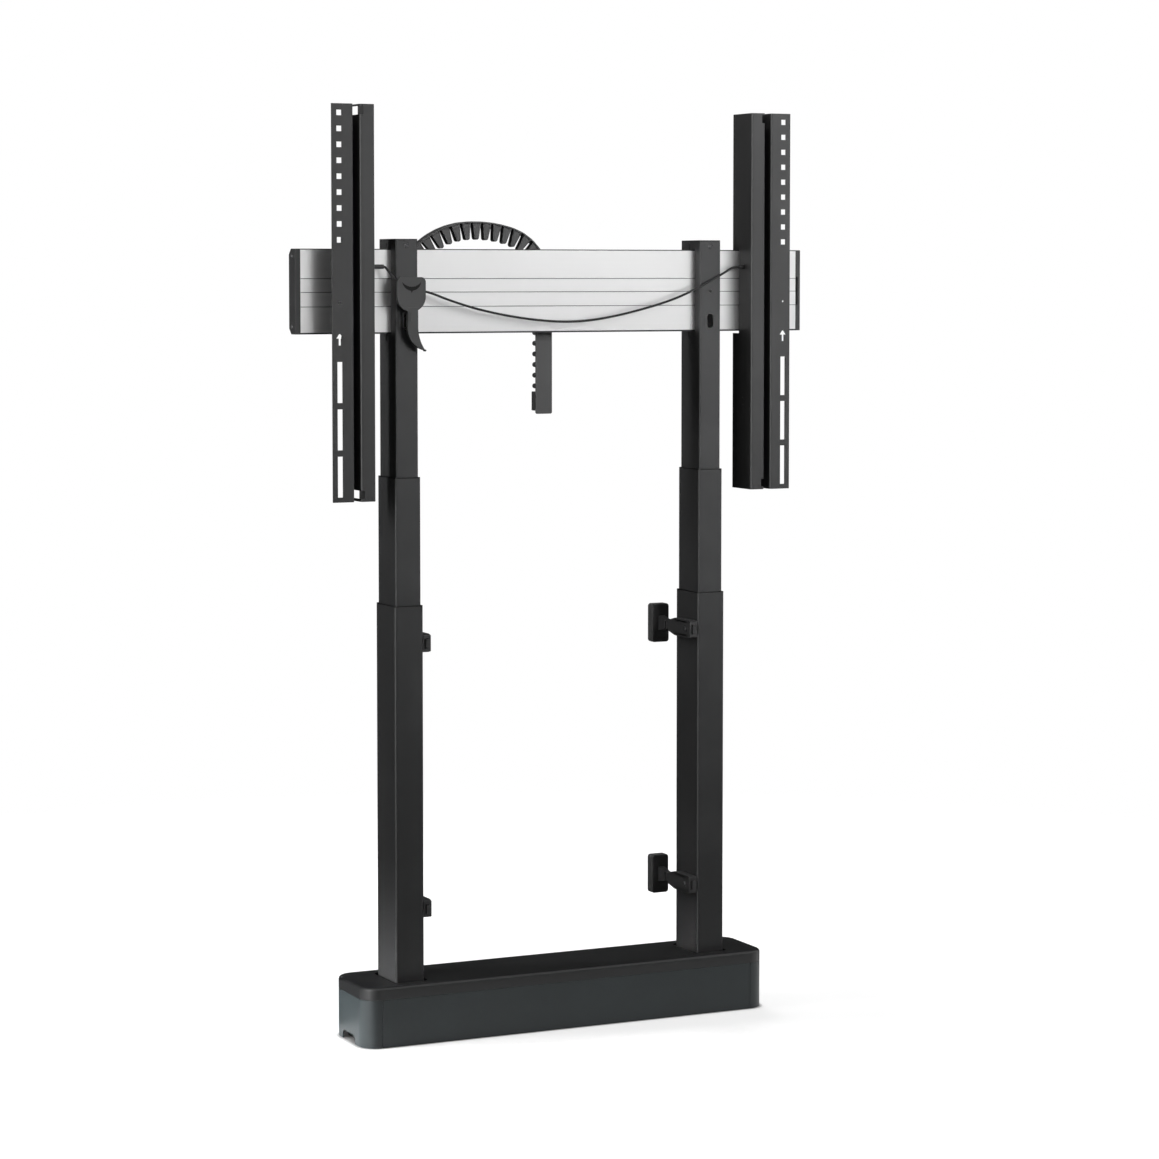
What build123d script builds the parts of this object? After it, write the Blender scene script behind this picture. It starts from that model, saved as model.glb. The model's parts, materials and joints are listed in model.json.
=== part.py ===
from build123d import *
import os
from math import cos, radians, sin, tan

# TV lift: a floor base, two three-stage columns, a crossbar with two display
# strips, a release pull with its cords, a cable chain and four wall brackets.
# Millimetres. +X runs along the bar, -Y is the display's side, +Z is up.
# The origin is under the middle of the base, on the floor.

SIDES = {"left": -1, "right": 1}

# Running and assembly gaps
overrun = 5
slide_gap = 0.3
spindle_gap = 0.08
fit_gap = 0.2
seam_gap = 0.3

# Base; its length follows from the columns' spacing and its reach past them
base_end_reach = 91
base_depth = 140
body_height = 78
lid_height = 20
base_corner = 30
base_wall = 3
lid_edge_round = 5
panel_lip_depth = 17
panel_lip_thickness = 2
notch_front = -24.5
notch_back = 28
notch_height = 14
notch_round = 8
floor_plate_inset_x = 16
floor_plate_inset_y = 6
floor_plate_thickness = 4
floor_plate_corner = 24
floor_hole_radius = 4.5
floor_hole_inset_x = 40
floor_hole_inset_y = 24
lid_opening_gap = 5
lid_opening_corner = 7

# Columns
column_spacing = 550
outer_width = 50
outer_depth = 80
middle_width = 44.5
middle_depth = 74.5
inner_width = 39
inner_depth = 69
tube_wall = 1.5
outer_corner = 4
middle_corner = 3.5
inner_corner = 3
tube_foot = 10
outer_top = 708
middle_bottom = 275
middle_top = 915
inner_bottom = 500
inner_top = 1297
cap_thickness = 2
cap_plug_depth = 8
glide_length = 34
glide_lip = 1.2
socket_plate_length = 84
socket_plate_depth = 104
socket_plate_thickness = 6
socket_height = 60
socket_wall = 4
socket_hole_radius = 3.5
socket_hole_inset = 8

# Drive
gearbox_width = 42
gearbox_depth = 70
gearbox_corner = 6
gearbox_height = 46
motor_radius = 18
motor_length = 88
motor_rise = 23
motor_window_gap = 1
spindle_radius = 6
spindle_top = 440
nut_height = 25
screw_tube_bore = 7
screw_tube_radius = 10
screw_tube_top = 662
control_box_low_x = -90
control_box_high_x = 110
control_box_depth = 84
control_box_height = 44
control_box_wall = 2.5
board_thickness = 1.6
board_rise = 12
board_margin = 6
board_part_height = 14
board_part_side = 22
board_part_shares = (0.25, 0.6)
inlet_width = 28
inlet_height = 20
inlet_depth = 18
inlet_offset = 22
lead_radius = 2.5
lead_rise = 24
lead_jog = 9

# Crossbar
bar_half_length = 449
bar_bottom = 1147
bar_top = 1283
bar_front = -15
bar_back = 13
bar_wall = 2.5
bar_rib_shares = (0.35, 0.68)
fascia_thickness = 1.5
fascia_low_margin = 2.5
fascia_high_margin = 1.5
groove_shares = (0.35, 0.51, 0.68)
groove_width = 1
groove_depth = 0.5
bar_cap_thickness = 9
bar_cap_chamfer = 9
bar_cap_plug = 5
level_slot_low = 1190
level_slot_high = 1238
level_slot_width = 4
level_slot_depth = 3
clamp_plate_width = 70
clamp_plate_low = 1160
clamp_plate_high = 1272
clamp_plate_thickness = 3
clamp_screw_inset = 8
screw_head_radius = 4
screw_head_height = 1.4
ring_screw_z = 1289
cap_screw_inset = 12
cap_screw_radius = 2.5
cap_screw_height = 0.8
relief_front = 2
relief_back = 4
relief_rise = 10
relief_drop = 12
tube_slot_low = 1153
tube_slot_high = 1176
tube_slot_width = 10.5
pin_hole_z = 1214
pin_hole_radius = 1.6

# Display strips
strip_hole_x = 400
strip_low = 881
strip_high = 1511
strip_front = -60
strip_back = 6
sheet = 2.5
bend_radius = 1
flange_outer = 12.8
flange_inner = 24
channel_width = 10.9
inner_face_width = 25.6
channel_floor = -20
bar_notch_low = 1143
bar_notch_front = -15.5
window_lip = 3
window_height = 13.5
window_low_lip = 4.5
window_low_height = 13.1
window_reach = 6
square_hole = 8.75
square_hole_first = 14.4
hole_pitch = 25
square_hole_count = 9
round_hole_drop = 314
round_hole_radius = 1.8
arrow_drop = 361
arrow_height = 20
arrow_head_width = 12
arrow_head_height = 9
arrow_stem_width = 4
slot_first_drop = 407
slot_pitch = 75
slot_length = 65
slot_count = 3
hook_thickness = 3
hook_reach = 40
hook_seat = 17

# Release latch, pull handle and cords
latch_y = -32
latch_z = 1254.5
latch_radius = 2
latch_point = 0.7
latch_bore_radius = 2.25
latch_tip = 358
latch_end = {"left": 324, "right": 341.5}
sleeve_radius = 3.5
sleeve_flange_radius = 6
sleeve_flange = 2
sleeve_end = {"left": 314, "right": 331}
sleeve_end_wall = 1.5
sleeve_cord_hole = 1
keeper_low_x = 354
keeper_high_x = 361
keeper_half_height = 6.5
keeper_front = -37
handle_left = -297.7
handle_right = -248.2
handle_top = 1237.8
handle_bottom = 1182.4
handle_front = -50
handle_thickness = 6
handle_corner = 8
crescent_left = -289
crescent_right = -256
crescent_top = 1230.5
crescent_low = 1216
crescent_high = 1222.5
crescent_depth = 4.5
pointer_width = 6
pointer_drop = 4
boss_left = -285
boss_right = -256
boss_low = 1206
boss_high = 1236
boss_back = -38.2
rail_stem_width = 6
rail_head_width = 12
rail_plate_thickness = 3
rail_plate_width = 22
rail_stem_depth = 2
rail_head_depth = 1.8
rail_low = 1190
rail_high = 1236.5
claw_thickness = 7
claw_left = -280
claw_right = -262
claw_neck_low = 1160
claw_left_bulge = (-274.6, 1137.5)
claw_right_bulge = (-261, 1147)
claw_tip = (-249.5, 1120.5)
claw_tip_radius = 1.6
cord_radius = 1.9

# The cords' routes, from the sleeve to the handle and from the handle to the other sleeve
cord_left_route = [
    (-314, -32, 1254.5),
    (-311, -32, 1254.5),
    (-307, -34.6, 1247.8),
    (-300.5, -38.6, 1238.5),
    (-295, -41.3, 1229.5),
    (-285, -41.3, 1229.5),
]
cord_right_route = [
    (-256, -41.3, 1215.4),
    (-248, -41.3, 1215.4),
    (-233, -42, 1211.4),
    (-204, -42.6, 1200.4),
    (-162, -42.8, 1187.8),
    (-115, -43, 1177.4),
    (-60, -43, 1168.8),
    (-5, -43, 1164.4),
    (45, -43, 1166),
    (100, -42.8, 1174.6),
    (156, -42.6, 1187.6),
    (205, -42.4, 1201.4),
    (255, -41.6, 1222.6),
    (299, -39.4, 1245),
    (314, -35, 1252.2),
    (323, -32, 1254.5),
    (331, -32, 1254.5),
]
cord_run_share = 0.45

# Cable chain
chain_front = 18
chain_depth = 20
chain_height = 29.8
chain_pitch = 17.6
chain_band = 2.5
chain_gap = 0.4
chain_plate = 2.5
tooth_root_width = 15
tooth_tip_width = 8.3
drop_outer_x = 5.8
drop_first_pivot = 1049.2
drop_links = 10
drop_heading = 90
arch_first_radius = 97.5
arch_top_radius = 234
arch_last_radius = 150
arch_first_heading = 161.2
arch_top_heading = 180
arch_end_heading = 246
arch_curves = (
    (arch_first_heading, arch_first_radius),
    (arch_top_heading, arch_top_radius),
    (arch_end_heading, arch_last_radius),
)
chain_tab_low = 1017
chain_tab_high = 1048.6
guide_low = 1012
guide_high = 1250
guide_corner = 3
guide_thickness = 2.5
guide_seat_low = 1160
guide_seat_high = 1240
anchor_left = -288
anchor_right = -244
anchor_low = 1196
anchor_high = 1246

# Wall brackets
bracket_heights = {"upper": 647, "lower": 213.5}
housing_protrusion = 14
housing_front = -38
housing_shoulder = 18
housing_back = 42
housing_half_height = 15
housing_nose_half_height = 13
housing_nose_length = 8
housing_tail_half_height = 9.5
arm_thickness = 6
arm_gap = 0.3
arm_half_height = 7.5
arm_offset = 7.1
arm_front = -43
arm_flare_start = 56
arm_flare_half_height = 13
arm_flare_thickness = 12
pad_front = 81
pad_back = 100
pad_width = 32
pad_height = 66
pad_round = 5
pad_offset = 33
arm_travel = 10
clamp_screw_y = -22
clamp_screw_radius = 2
clamp_head_radius = 4
clamp_head_height = 2.5
arm_slot_gap = 0.4

# Places worked out from the sizes above
half_spacing = column_spacing / 2
base_length = column_spacing + 2 * base_end_reach
panel_half_length = base_length / 2 - base_corner
floor_plate_length = base_length - 2 * floor_plate_inset_x
floor_plate_depth = base_depth - 2 * floor_plate_inset_y
floor_hole_spacing_x = floor_plate_length - 2 * floor_hole_inset_x
floor_hole_spacing_y = floor_plate_depth - 2 * floor_hole_inset_y
half_depth = base_depth / 2
panel_inside = half_depth - base_wall
gear_top = tube_foot + gearbox_height
motor_z = tube_foot + motor_rise
middle_bore_width = middle_width - 2 * tube_wall
middle_bore_depth = middle_depth - 2 * tube_wall
outer_bore_width = outer_width - 2 * tube_wall
outer_bore_depth = outer_depth - 2 * tube_wall
inner_bore_width = inner_width - 2 * tube_wall
inner_bore_depth = inner_depth - 2 * tube_wall
outer_bore_corner = outer_corner - tube_wall
middle_bore_corner = middle_corner - tube_wall
inner_bore_corner = inner_corner - tube_wall
strip_inner = strip_hole_x - flange_inner - channel_width - inner_face_width
inner_face_outer = strip_hole_x - flange_inner - channel_width
tube_face = half_spacing - outer_width / 2
handle_back = handle_front + handle_thickness
arm_middle = -tube_face + arm_offset
tube_front = -inner_depth / 2


def block(x, y, z):
    """A block between a pair of limits on each axis."""
    limits = (x, y, z)
    centre = [(low + high) / 2 for low, high in limits]
    size = [high - low for low, high in limits]
    return Pos(*centre) * Box(*size)


def prism(outline, z_low, z_high):
    """A sketch in plan, raised between two heights."""
    return Pos(0, 0, z_low) * extrude(outline, amount=z_high - z_low)


def ring(width, depth, corner, bore_width, bore_depth, bore_corner, z_low, z_high):
    """A rectangular tube with rounded corners, about the Z axis."""
    outline = RectangleRounded(width, depth, corner)
    outline -= RectangleRounded(bore_width, bore_depth, bore_corner)
    return prism(outline, z_low, z_high)


def rod(start, direction, radius, length):
    """A round bar from a point along a direction."""
    return extrude(Plane(origin=start, z_dir=direction) * Circle(radius), amount=length)


def side_profile(points, x_low, x_high):
    """An outline of (y, z) points, drawn out along X."""
    plane = Plane(origin=(x_low, 0, 0), x_dir=(0, 1, 0), z_dir=(1, 0, 0))
    return extrude(plane * make_face(Polyline(*points, close=True)), amount=x_high - x_low)


def front_plate(outline, y_front, thickness):
    """A sketch seen from the front, given depth towards the back."""
    plane = Plane(origin=(0, y_front, 0), x_dir=(1, 0, 0), z_dir=(0, -1, 0))
    return extrude(plane * outline, amount=-thickness)


def on_right(shape):
    """The right-hand copy of a left-hand piece."""
    return mirror(shape, about=Plane.YZ)


def save(shape, name):
    export_step(shape, "parts/" + name + ".step")


def save_pair(left_shape, name):
    """A left-hand piece and its mirror image, as two nodes."""
    save(left_shape, name + "_left")
    save(on_right(left_shape), name + "_right")


def group(shapes):
    return Compound(children=list(shapes))


def both(left_shape):
    """A left-hand piece and its mirror image, as one group."""
    return group([left_shape, on_right(left_shape)])


# Base


def base_plan(inset):
    """The base's outline in plan, drawn in by an inset."""
    corner = base_corner - inset
    return RectangleRounded(base_length - 2 * inset, base_depth - 2 * inset, corner)


def base_floor_plate():
    plate = RectangleRounded(floor_plate_length, floor_plate_depth, floor_plate_corner)
    holes = GridLocations(floor_hole_spacing_x, floor_hole_spacing_y, 2, 2) * Circle(floor_hole_radius)
    return prism(plate - holes, 0, floor_plate_thickness)


def base_panel(side):
    """A long wall with a lip that rests on the floor plate; side is -1 at the front."""
    length = (-panel_half_length + seam_gap, panel_half_length - seam_gap)
    lip_low = floor_plate_thickness
    outside = side * half_depth
    inside = side * panel_inside
    lip_end = side * (half_depth - panel_lip_depth)
    wall = block(length, sorted((outside, inside)), (0, body_height))
    lip = block(length, sorted((inside, lip_end)), (lip_low, lip_low + panel_lip_thickness))
    return wall + lip


def base_end_cap():
    """The left end: a rounded shell with a notch for leads at its foot."""
    shell = prism(base_plan(0) - base_plan(base_wall), 0, body_height)
    kept = (-base_length / 2 - overrun, -panel_half_length)
    shell &= block(kept, (-base_depth, base_depth), (0, body_height))
    notch = block(
        (-base_length / 2 - overrun, -base_length / 2 + base_wall + overrun),
        (notch_front, notch_back),
        (-overrun, notch_height),
    )
    notch = fillet(notch.edges().filter_by(Axis.X).group_by(Axis.Z)[-1], notch_round)
    return shell - notch


def base_lid():
    low = body_height
    high = body_height + lid_height
    lid = prism(base_plan(0), low, high)
    lid = fillet(lid.faces().sort_by(Axis.Z)[-1].edges(), lid_edge_round)
    lid -= prism(base_plan(base_wall), low - overrun, high - base_wall)
    opening = RectangleRounded(
        outer_width + 2 * lid_opening_gap, outer_depth + 2 * lid_opening_gap, lid_opening_corner
    )
    for side in SIDES.values():
        lid -= Pos(side * half_spacing, 0, 0) * prism(opening, low, high + overrun)
    return lid


def column_socket():
    """A foot plate and a collar round the tube, about the column's own axis."""
    low = floor_plate_thickness
    top = low + socket_plate_thickness
    plate = Rectangle(socket_plate_length, socket_plate_depth)
    plate -= GridLocations(
        socket_plate_length - 2 * socket_hole_inset, socket_plate_depth - 2 * socket_hole_inset, 2, 2
    ) * Circle(socket_hole_radius)
    socket = prism(plate, low, top)
    bore_width = outer_width + fit_gap
    bore_depth = outer_depth + fit_gap
    socket += ring(
        bore_width + 2 * socket_wall,
        bore_depth + 2 * socket_wall,
        outer_corner + socket_wall,
        bore_width,
        bore_depth,
        outer_corner,
        top,
        socket_height,
    )
    return socket - motor_window()


def motor_window():
    """The hole that lets the motor into a column's inner side, about the left column's axis."""
    radius = motor_radius + motor_window_gap
    return rod((outer_width / 2 - 2 * socket_wall, 0, motor_z), (1, 0, 0), radius, 4 * socket_wall)


def gearbox():
    body = RectangleRounded(gearbox_width, gearbox_depth, gearbox_corner)
    return prism(body, tube_foot, gear_top)


def motor():
    start = gearbox_width / 2
    can = rod((start, 0, motor_z), (1, 0, 0), motor_radius, motor_length)
    return chamfer(can.faces().sort_by(Axis.X)[-1].edges(), base_wall)


def control_box():
    """A box that is open below, where it stands on the floor plate, with a mains inlet."""
    low = floor_plate_thickness
    high = low + control_box_height
    half = control_box_depth / 2
    wall = control_box_wall
    case = block((control_box_low_x, control_box_high_x), (-half, half), (low, high))
    case -= block(
        (control_box_low_x + wall, control_box_high_x - wall),
        (-half + wall, half - wall),
        (low - overrun, high - wall),
    )
    inlet_mid = (low + high) / 2
    inlet = block(
        (control_box_low_x - overrun, control_box_low_x + inlet_depth),
        (inlet_offset - inlet_width / 2, inlet_offset + inlet_width / 2),
        (inlet_mid - inlet_height / 2, inlet_mid + inlet_height / 2),
    )
    shroud = offset(inlet, wall)
    shroud &= block((control_box_low_x, control_box_high_x), (-half, half), (low, high))
    return case + shroud - inlet


def control_board():
    """The circuit board on two ledges, with its larger parts."""
    low = floor_plate_thickness
    rise = low + board_rise
    half = control_box_depth / 2 - control_box_wall
    x_low = control_box_low_x + inlet_depth + board_margin
    x_high = control_box_high_x - control_box_wall - board_margin
    board = block((x_low, x_high), (-half + board_margin, half - board_margin), (rise, rise + board_thickness))
    for x in (x_low + board_margin, x_high - board_margin):
        post = rod((x, 0, low), (0, 0, 1), lead_radius, board_rise)
        board += post
    top = rise + board_thickness
    for share in board_part_shares:
        x = x_low + share * (x_high - x_low)
        board += block((x, x + board_part_side), (0, board_part_side), (top, top + board_part_height))
    return board


def motor_lead(side):
    """The wire from a motor's end to the control box, with a small jog."""
    motor_end = side * (half_spacing - gearbox_width / 2 - motor_length)
    box_end = control_box_low_x if side < 0 else control_box_high_x
    middle = (motor_end + box_end) / 2
    quarter = (box_end - motor_end) / 4
    height = floor_plate_thickness + lead_rise
    points = [
        (motor_end, 0, height),
        (motor_end + quarter, 0, height),
        (middle + quarter, -lead_jog, height),
        (box_end, -lead_jog, height),
    ]
    return tube_along(points, lead_radius)


# Cords


def corner_radii(points):
    """The largest even radius for each corner of a route."""
    radii = []
    vectors = [Vector(*point) for point in points]
    for before, corner, after in zip(vectors, vectors[1:], vectors[2:]):
        incoming = corner - before
        outgoing = after - corner
        half_turn = radians(incoming.get_angle(outgoing)) / 2
        radii.append(cord_run_share * min(incoming.length, outgoing.length) / tan(half_turn))
    return radii


def tube_along(points, radius):
    """A round tube along straight runs joined by tangent arcs."""
    path = FilletPolyline(*points, radius=corner_radii(points))
    section = Plane(origin=path @ 0, z_dir=path % 0) * Circle(radius)
    tube = sweep(section, path=path)
    expected = path.length * section.area
    print("tube", round(path.length, 1), "mm long, volume ratio", round(tube.volume / expected, 4))
    print("  radii", [round(value, 1) for value in corner_radii(points)])
    return tube


# Columns, each about its own axis


def outer_tube():
    tube = ring(
        outer_width, outer_depth, outer_corner, outer_bore_width, outer_bore_depth, outer_bore_corner,
        tube_foot, outer_top,
    )
    tube -= motor_window()
    for height in bracket_heights.values():
        start = (outer_width / 2 - tube_wall - overrun, clamp_screw_y, height)
        tube -= rod(start, (1, 0, 0), clamp_screw_radius, 2 * overrun + tube_wall)
    return tube


def collar(bore_width, bore_depth, bore_corner, tube_width, tube_depth, tube_corner, rim, rim_corner, top):
    """A glide in a tube's mouth, with a thin lip on the tube's rim."""
    clear = 2 * slide_gap
    inside = (tube_width + clear, tube_depth + clear, tube_corner + slide_gap)
    lining = ring(bore_width, bore_depth, bore_corner, *inside, top - glide_length, top)
    lip = ring(*rim, rim_corner, *inside, top, top + glide_lip)
    return lining + lip


def outer_glide():
    return collar(
        outer_bore_width, outer_bore_depth, outer_bore_corner, middle_width, middle_depth, middle_corner,
        (outer_width, outer_depth), outer_corner, outer_top,
    )


def foot_glide(bore_width, bore_depth, bore_corner, tube_width, tube_depth, tube_corner, bottom):
    """A glide round a tube's foot, which runs in the next tube out."""
    clear = 2 * slide_gap
    outside = (bore_width - clear, bore_depth - clear, bore_corner)
    return ring(*outside, tube_width, tube_depth, tube_corner, bottom, bottom + glide_length)


def middle_tube():
    return ring(
        middle_width, middle_depth, middle_corner, middle_bore_width, middle_bore_depth, middle_bore_corner,
        middle_bottom, middle_top,
    )


def middle_glides():
    mouth = collar(
        middle_bore_width, middle_bore_depth, middle_bore_corner, inner_width, inner_depth, inner_corner,
        (middle_width, middle_depth), middle_corner, middle_top,
    )
    foot = foot_glide(
        outer_bore_width, outer_bore_depth, outer_bore_corner, middle_width, middle_depth, middle_corner,
        middle_bottom,
    )
    return [mouth, foot]


def inner_tube():
    tube = ring(
        inner_width, inner_depth, inner_corner, inner_bore_width, inner_bore_depth, inner_bore_corner,
        inner_bottom, inner_top,
    )
    across = (-inner_width, inner_width)
    tube -= block(across, (bar_front, inner_depth), (bar_bottom, bar_top))
    tube -= block(across, (relief_front, relief_back), (bar_bottom - relief_drop, bar_top + relief_rise))
    slot_middle = (tube_slot_low + tube_slot_high) / 2
    slot = SlotOverall(tube_slot_high - tube_slot_low, tube_slot_width, rotation=90)
    slot_cut = front_plate(Pos(0, slot_middle) * slot, tube_front - overrun, 2 * overrun)
    pin_cut = front_plate(Pos(0, pin_hole_z) * Circle(pin_hole_radius), tube_front - overrun, 2 * overrun)
    return tube - slot_cut - pin_cut


def inner_glide():
    return foot_glide(
        middle_bore_width, middle_bore_depth, middle_bore_corner, inner_width, inner_depth, inner_corner,
        inner_bottom,
    )


def tube_cap():
    cap = prism(RectangleRounded(inner_width, inner_depth, inner_corner), inner_top, inner_top + cap_thickness)
    plug = RectangleRounded(inner_bore_width - fit_gap, inner_bore_depth - fit_gap, inner_bore_corner)
    return cap + prism(plug, inner_top - cap_plug_depth, inner_top)


def nut(bore_width, bore_depth, bore_corner, hole_radius, bottom):
    """A block across a tube's foot, bored for a spindle."""
    outline = RectangleRounded(bore_width, bore_depth, bore_corner) - Circle(hole_radius)
    return prism(outline, bottom, bottom + nut_height)


def lower_nut():
    return nut(
        middle_bore_width, middle_bore_depth, middle_bore_corner, spindle_radius + spindle_gap, middle_bottom
    )


def inner_nut():
    hole = screw_tube_radius + spindle_gap
    return nut(inner_bore_width, inner_bore_depth, inner_bore_corner, hole, inner_bottom)


def lower_spindle():
    start = gear_top + slide_gap
    return rod((0, 0, start), (0, 0, 1), spindle_radius, spindle_top - start)


def upper_spindle():
    start = middle_bottom + nut_height + slide_gap
    return prism(Circle(screw_tube_radius) - Circle(screw_tube_bore), start, screw_tube_top)


# Crossbar


def crossbar_beam():
    length = (-bar_half_length, bar_half_length)
    height = bar_top - bar_bottom
    beam = block(length, (bar_front, bar_back), (bar_bottom, bar_top))
    recess = (bar_bottom + fascia_low_margin, bar_top - fascia_high_margin)
    beam -= block(length, (bar_front, bar_front + fascia_thickness), recess)
    depth = (bar_front + fascia_thickness + bar_wall, bar_back - bar_wall)
    levels = [bar_bottom] + [bar_top - share * height for share in reversed(bar_rib_shares)] + [bar_top]
    for low, high in zip(levels, levels[1:]):
        low_wall = bar_wall if low == bar_bottom else bar_wall / 2
        high_wall = bar_wall if high == bar_top else bar_wall / 2
        beam -= block(length, depth, (low + low_wall, high - high_wall))
    return beam


def crossbar_fascia():
    height = bar_top - bar_bottom
    low = bar_bottom + fascia_low_margin
    high = bar_top - fascia_high_margin
    length = (-bar_half_length, bar_half_length)
    panel = block(length, (bar_front, bar_front + fascia_thickness), (low, high))
    for share in groove_shares:
        middle = bar_top - share * height
        cut = (middle - groove_width / 2, middle + groove_width / 2)
        panel -= block(length, (bar_front - overrun, bar_front + groove_depth), cut)
    return panel


def bar_end_cap():
    """The left end's cap, with its plug in the beam."""
    chamfer_back = bar_back - bar_cap_chamfer
    outline = [
        (bar_front, bar_bottom),
        (chamfer_back, bar_bottom),
        (bar_back, bar_bottom + bar_cap_chamfer),
        (bar_back, bar_top - bar_cap_chamfer),
        (chamfer_back, bar_top),
        (bar_front, bar_top),
    ]
    cap = side_profile(outline, -bar_half_length - bar_cap_thickness, -bar_half_length)
    inside = bar_wall + fit_gap
    middle = bar_top - bar_rib_shares[1] * (bar_top - bar_bottom) - bar_wall
    plug = block(
        (-bar_half_length, -bar_half_length + bar_cap_plug),
        (bar_front + fascia_thickness + inside, bar_back - inside),
        (bar_bottom + inside, middle),
    )
    return cap + plug


def level_slot_cut():
    """The slot at the inner edge of the right cap."""
    return block(
        (bar_half_length, bar_half_length + level_slot_width),
        (bar_front - overrun, bar_front + level_slot_depth),
        (level_slot_low, level_slot_high),
    )


def bar_clamp():
    """The plate that holds the bar to the left column, behind the bar."""
    half = clamp_plate_width / 2
    x = (-half_spacing - half, -half_spacing + half)
    return block(x, (bar_back, bar_back + clamp_plate_thickness), (clamp_plate_low, clamp_plate_high))


def carriage_screws():
    """Ring screws in front, clamp screws behind and the end caps' screws, on the left."""
    screws = [rod((-half_spacing, tube_front, ring_screw_z), (0, -1, 0), screw_head_radius, screw_head_height)]
    back = bar_back + clamp_plate_thickness
    reach = clamp_plate_width / 2 - clamp_screw_inset
    for x in (-half_spacing - reach, -half_spacing + reach):
        for z in (clamp_plate_low + clamp_screw_inset, clamp_plate_high - clamp_screw_inset):
            screws.append(rod((x, back, z), (0, 1, 0), screw_head_radius, screw_head_height))
    end = -bar_half_length - bar_cap_thickness
    for z in (bar_bottom + cap_screw_inset, bar_top - cap_screw_inset):
        screws.append(rod((end, 0, z), (-1, 0, 0), cap_screw_radius, cap_screw_height))
    return screws


# Display strips, the left one first


def strip_section():
    """The folded sheet in plan: flange, deep channel, inner face and side wall."""
    half = sheet / 2
    front = strip_front + half
    web_outer = -strip_hole_x + flange_inner - half
    web_inner = -inner_face_outer + half
    floor = channel_floor + half
    side = -strip_inner - half
    points = [
        (-strip_hole_x - flange_outer, front),
        (web_outer, front),
        (web_outer, floor),
        (web_inner, floor),
        (web_inner, front),
        (side, front),
        (side, strip_back),
    ]
    line = FilletPolyline(*points, radius=bend_radius + half)
    return trace(line, line_width=sheet)


def front_cut(outline):
    """A cut through the strip's face, with the outline measured from the hole column and the strip's top."""
    moved = Pos(-strip_hole_x, strip_high) * outline
    return front_plate(moved, strip_front - overrun, 2 * overrun + sheet)


def arrow_outline():
    head = arrow_head_width / 2
    stem = arrow_stem_width / 2
    points = [
        (0, -arrow_drop),
        (head, -arrow_drop - arrow_head_height),
        (stem, -arrow_drop - arrow_head_height),
        (stem, -arrow_drop - arrow_height),
        (-stem, -arrow_drop - arrow_height),
        (-stem, -arrow_drop - arrow_head_height),
        (-head, -arrow_drop - arrow_head_height),
    ]
    return make_face(Polyline(*points, close=True))


def display_strip():
    strip = prism(strip_section(), strip_low, strip_high)
    for index in range(square_hole_count):
        drop = square_hole_first + index * hole_pitch
        strip -= front_cut(Pos(0, -drop) * Rectangle(square_hole, square_hole))
    strip -= front_cut(Pos(0, -round_hole_drop) * Circle(round_hole_radius))
    strip -= front_cut(arrow_outline())
    for index in range(slot_count):
        middle = slot_first_drop + index * slot_pitch + slot_length / 2
        strip -= front_cut(Pos(0, -middle) * Rectangle(square_hole, slot_length))
    window_x = (-strip_hole_x + flange_inner, -inner_face_outer + window_reach)
    window_y = (strip_front - overrun, bar_front)
    upper = strip_high - window_lip
    lower = strip_low + window_low_lip
    strip -= block(window_x, window_y, (upper - window_height, upper))
    strip -= block(window_x, window_y, (lower, lower + window_low_height))
    wall = (-strip_inner - bend_radius - 2 * sheet, -strip_inner + overrun)
    strip -= block(wall, (bar_notch_front, strip_back + overrun), (bar_notch_low, bar_top))
    sleeve_hole = sleeve_radius + spindle_gap
    strip -= rod((-strip_inner - overrun, latch_y, latch_z), (1, 0, 0), sleeve_hole, 2 * overrun)
    return strip + strip_hook()


def strip_hook():
    """The plate welded behind the channel, which hangs on the bar and hooks under it."""
    back = channel_floor + sheet
    high = bar_top + hook_reach
    low = bar_notch_low - hook_reach
    outline = [
        (back, low),
        (strip_back, low + hook_seat),
        (strip_back, bar_notch_low),
        (bar_front, bar_notch_low),
        (bar_front, bar_top),
        (strip_back, bar_top),
        (strip_back, high - hook_seat),
        (back, high),
    ]
    middle = -strip_hole_x + flange_inner + channel_width / 2
    return side_profile(outline, middle - hook_thickness / 2, middle + hook_thickness / 2)


def strip_keeper():
    """The eye on the bar's face that the left latch bolt enters."""
    keeper = block(
        (-keeper_high_x, -keeper_low_x),
        (keeper_front, bar_front),
        (latch_z - keeper_half_height, latch_z + keeper_half_height),
    )
    bore = latch_radius + slide_gap
    return keeper - rod((-keeper_high_x - overrun, latch_y, latch_z), (1, 0, 0), bore, 4 * overrun)


def latch_sleeve(side_name):
    """The guide of a latch bolt, through the strip's side wall; drawn on the left."""
    wall_inside = -strip_inner - sheet
    end = -sleeve_end[side_name]
    start = (wall_inside - sleeve_flange, latch_y, latch_z)
    sleeve = rod(start, (1, 0, 0), sleeve_radius, end - start[0])
    sleeve += rod(start, (1, 0, 0), sleeve_flange_radius, sleeve_flange)
    sleeve -= rod(start, (1, 0, 0), latch_bore_radius, end - sleeve_end_wall - start[0])
    return sleeve - rod(start, (1, 0, 0), sleeve_cord_hole, end + overrun - start[0])


def latch_bolt(side_name):
    """The bolt between the keeper and the sleeve; drawn on the left."""
    end = -latch_end[side_name]
    bolt = rod((-latch_tip, latch_y, latch_z), (1, 0, 0), latch_radius, latch_tip + end)
    return chamfer(bolt.faces().sort_by(Axis.X)[0].edges(), latch_point)


# Pull handle


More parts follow.
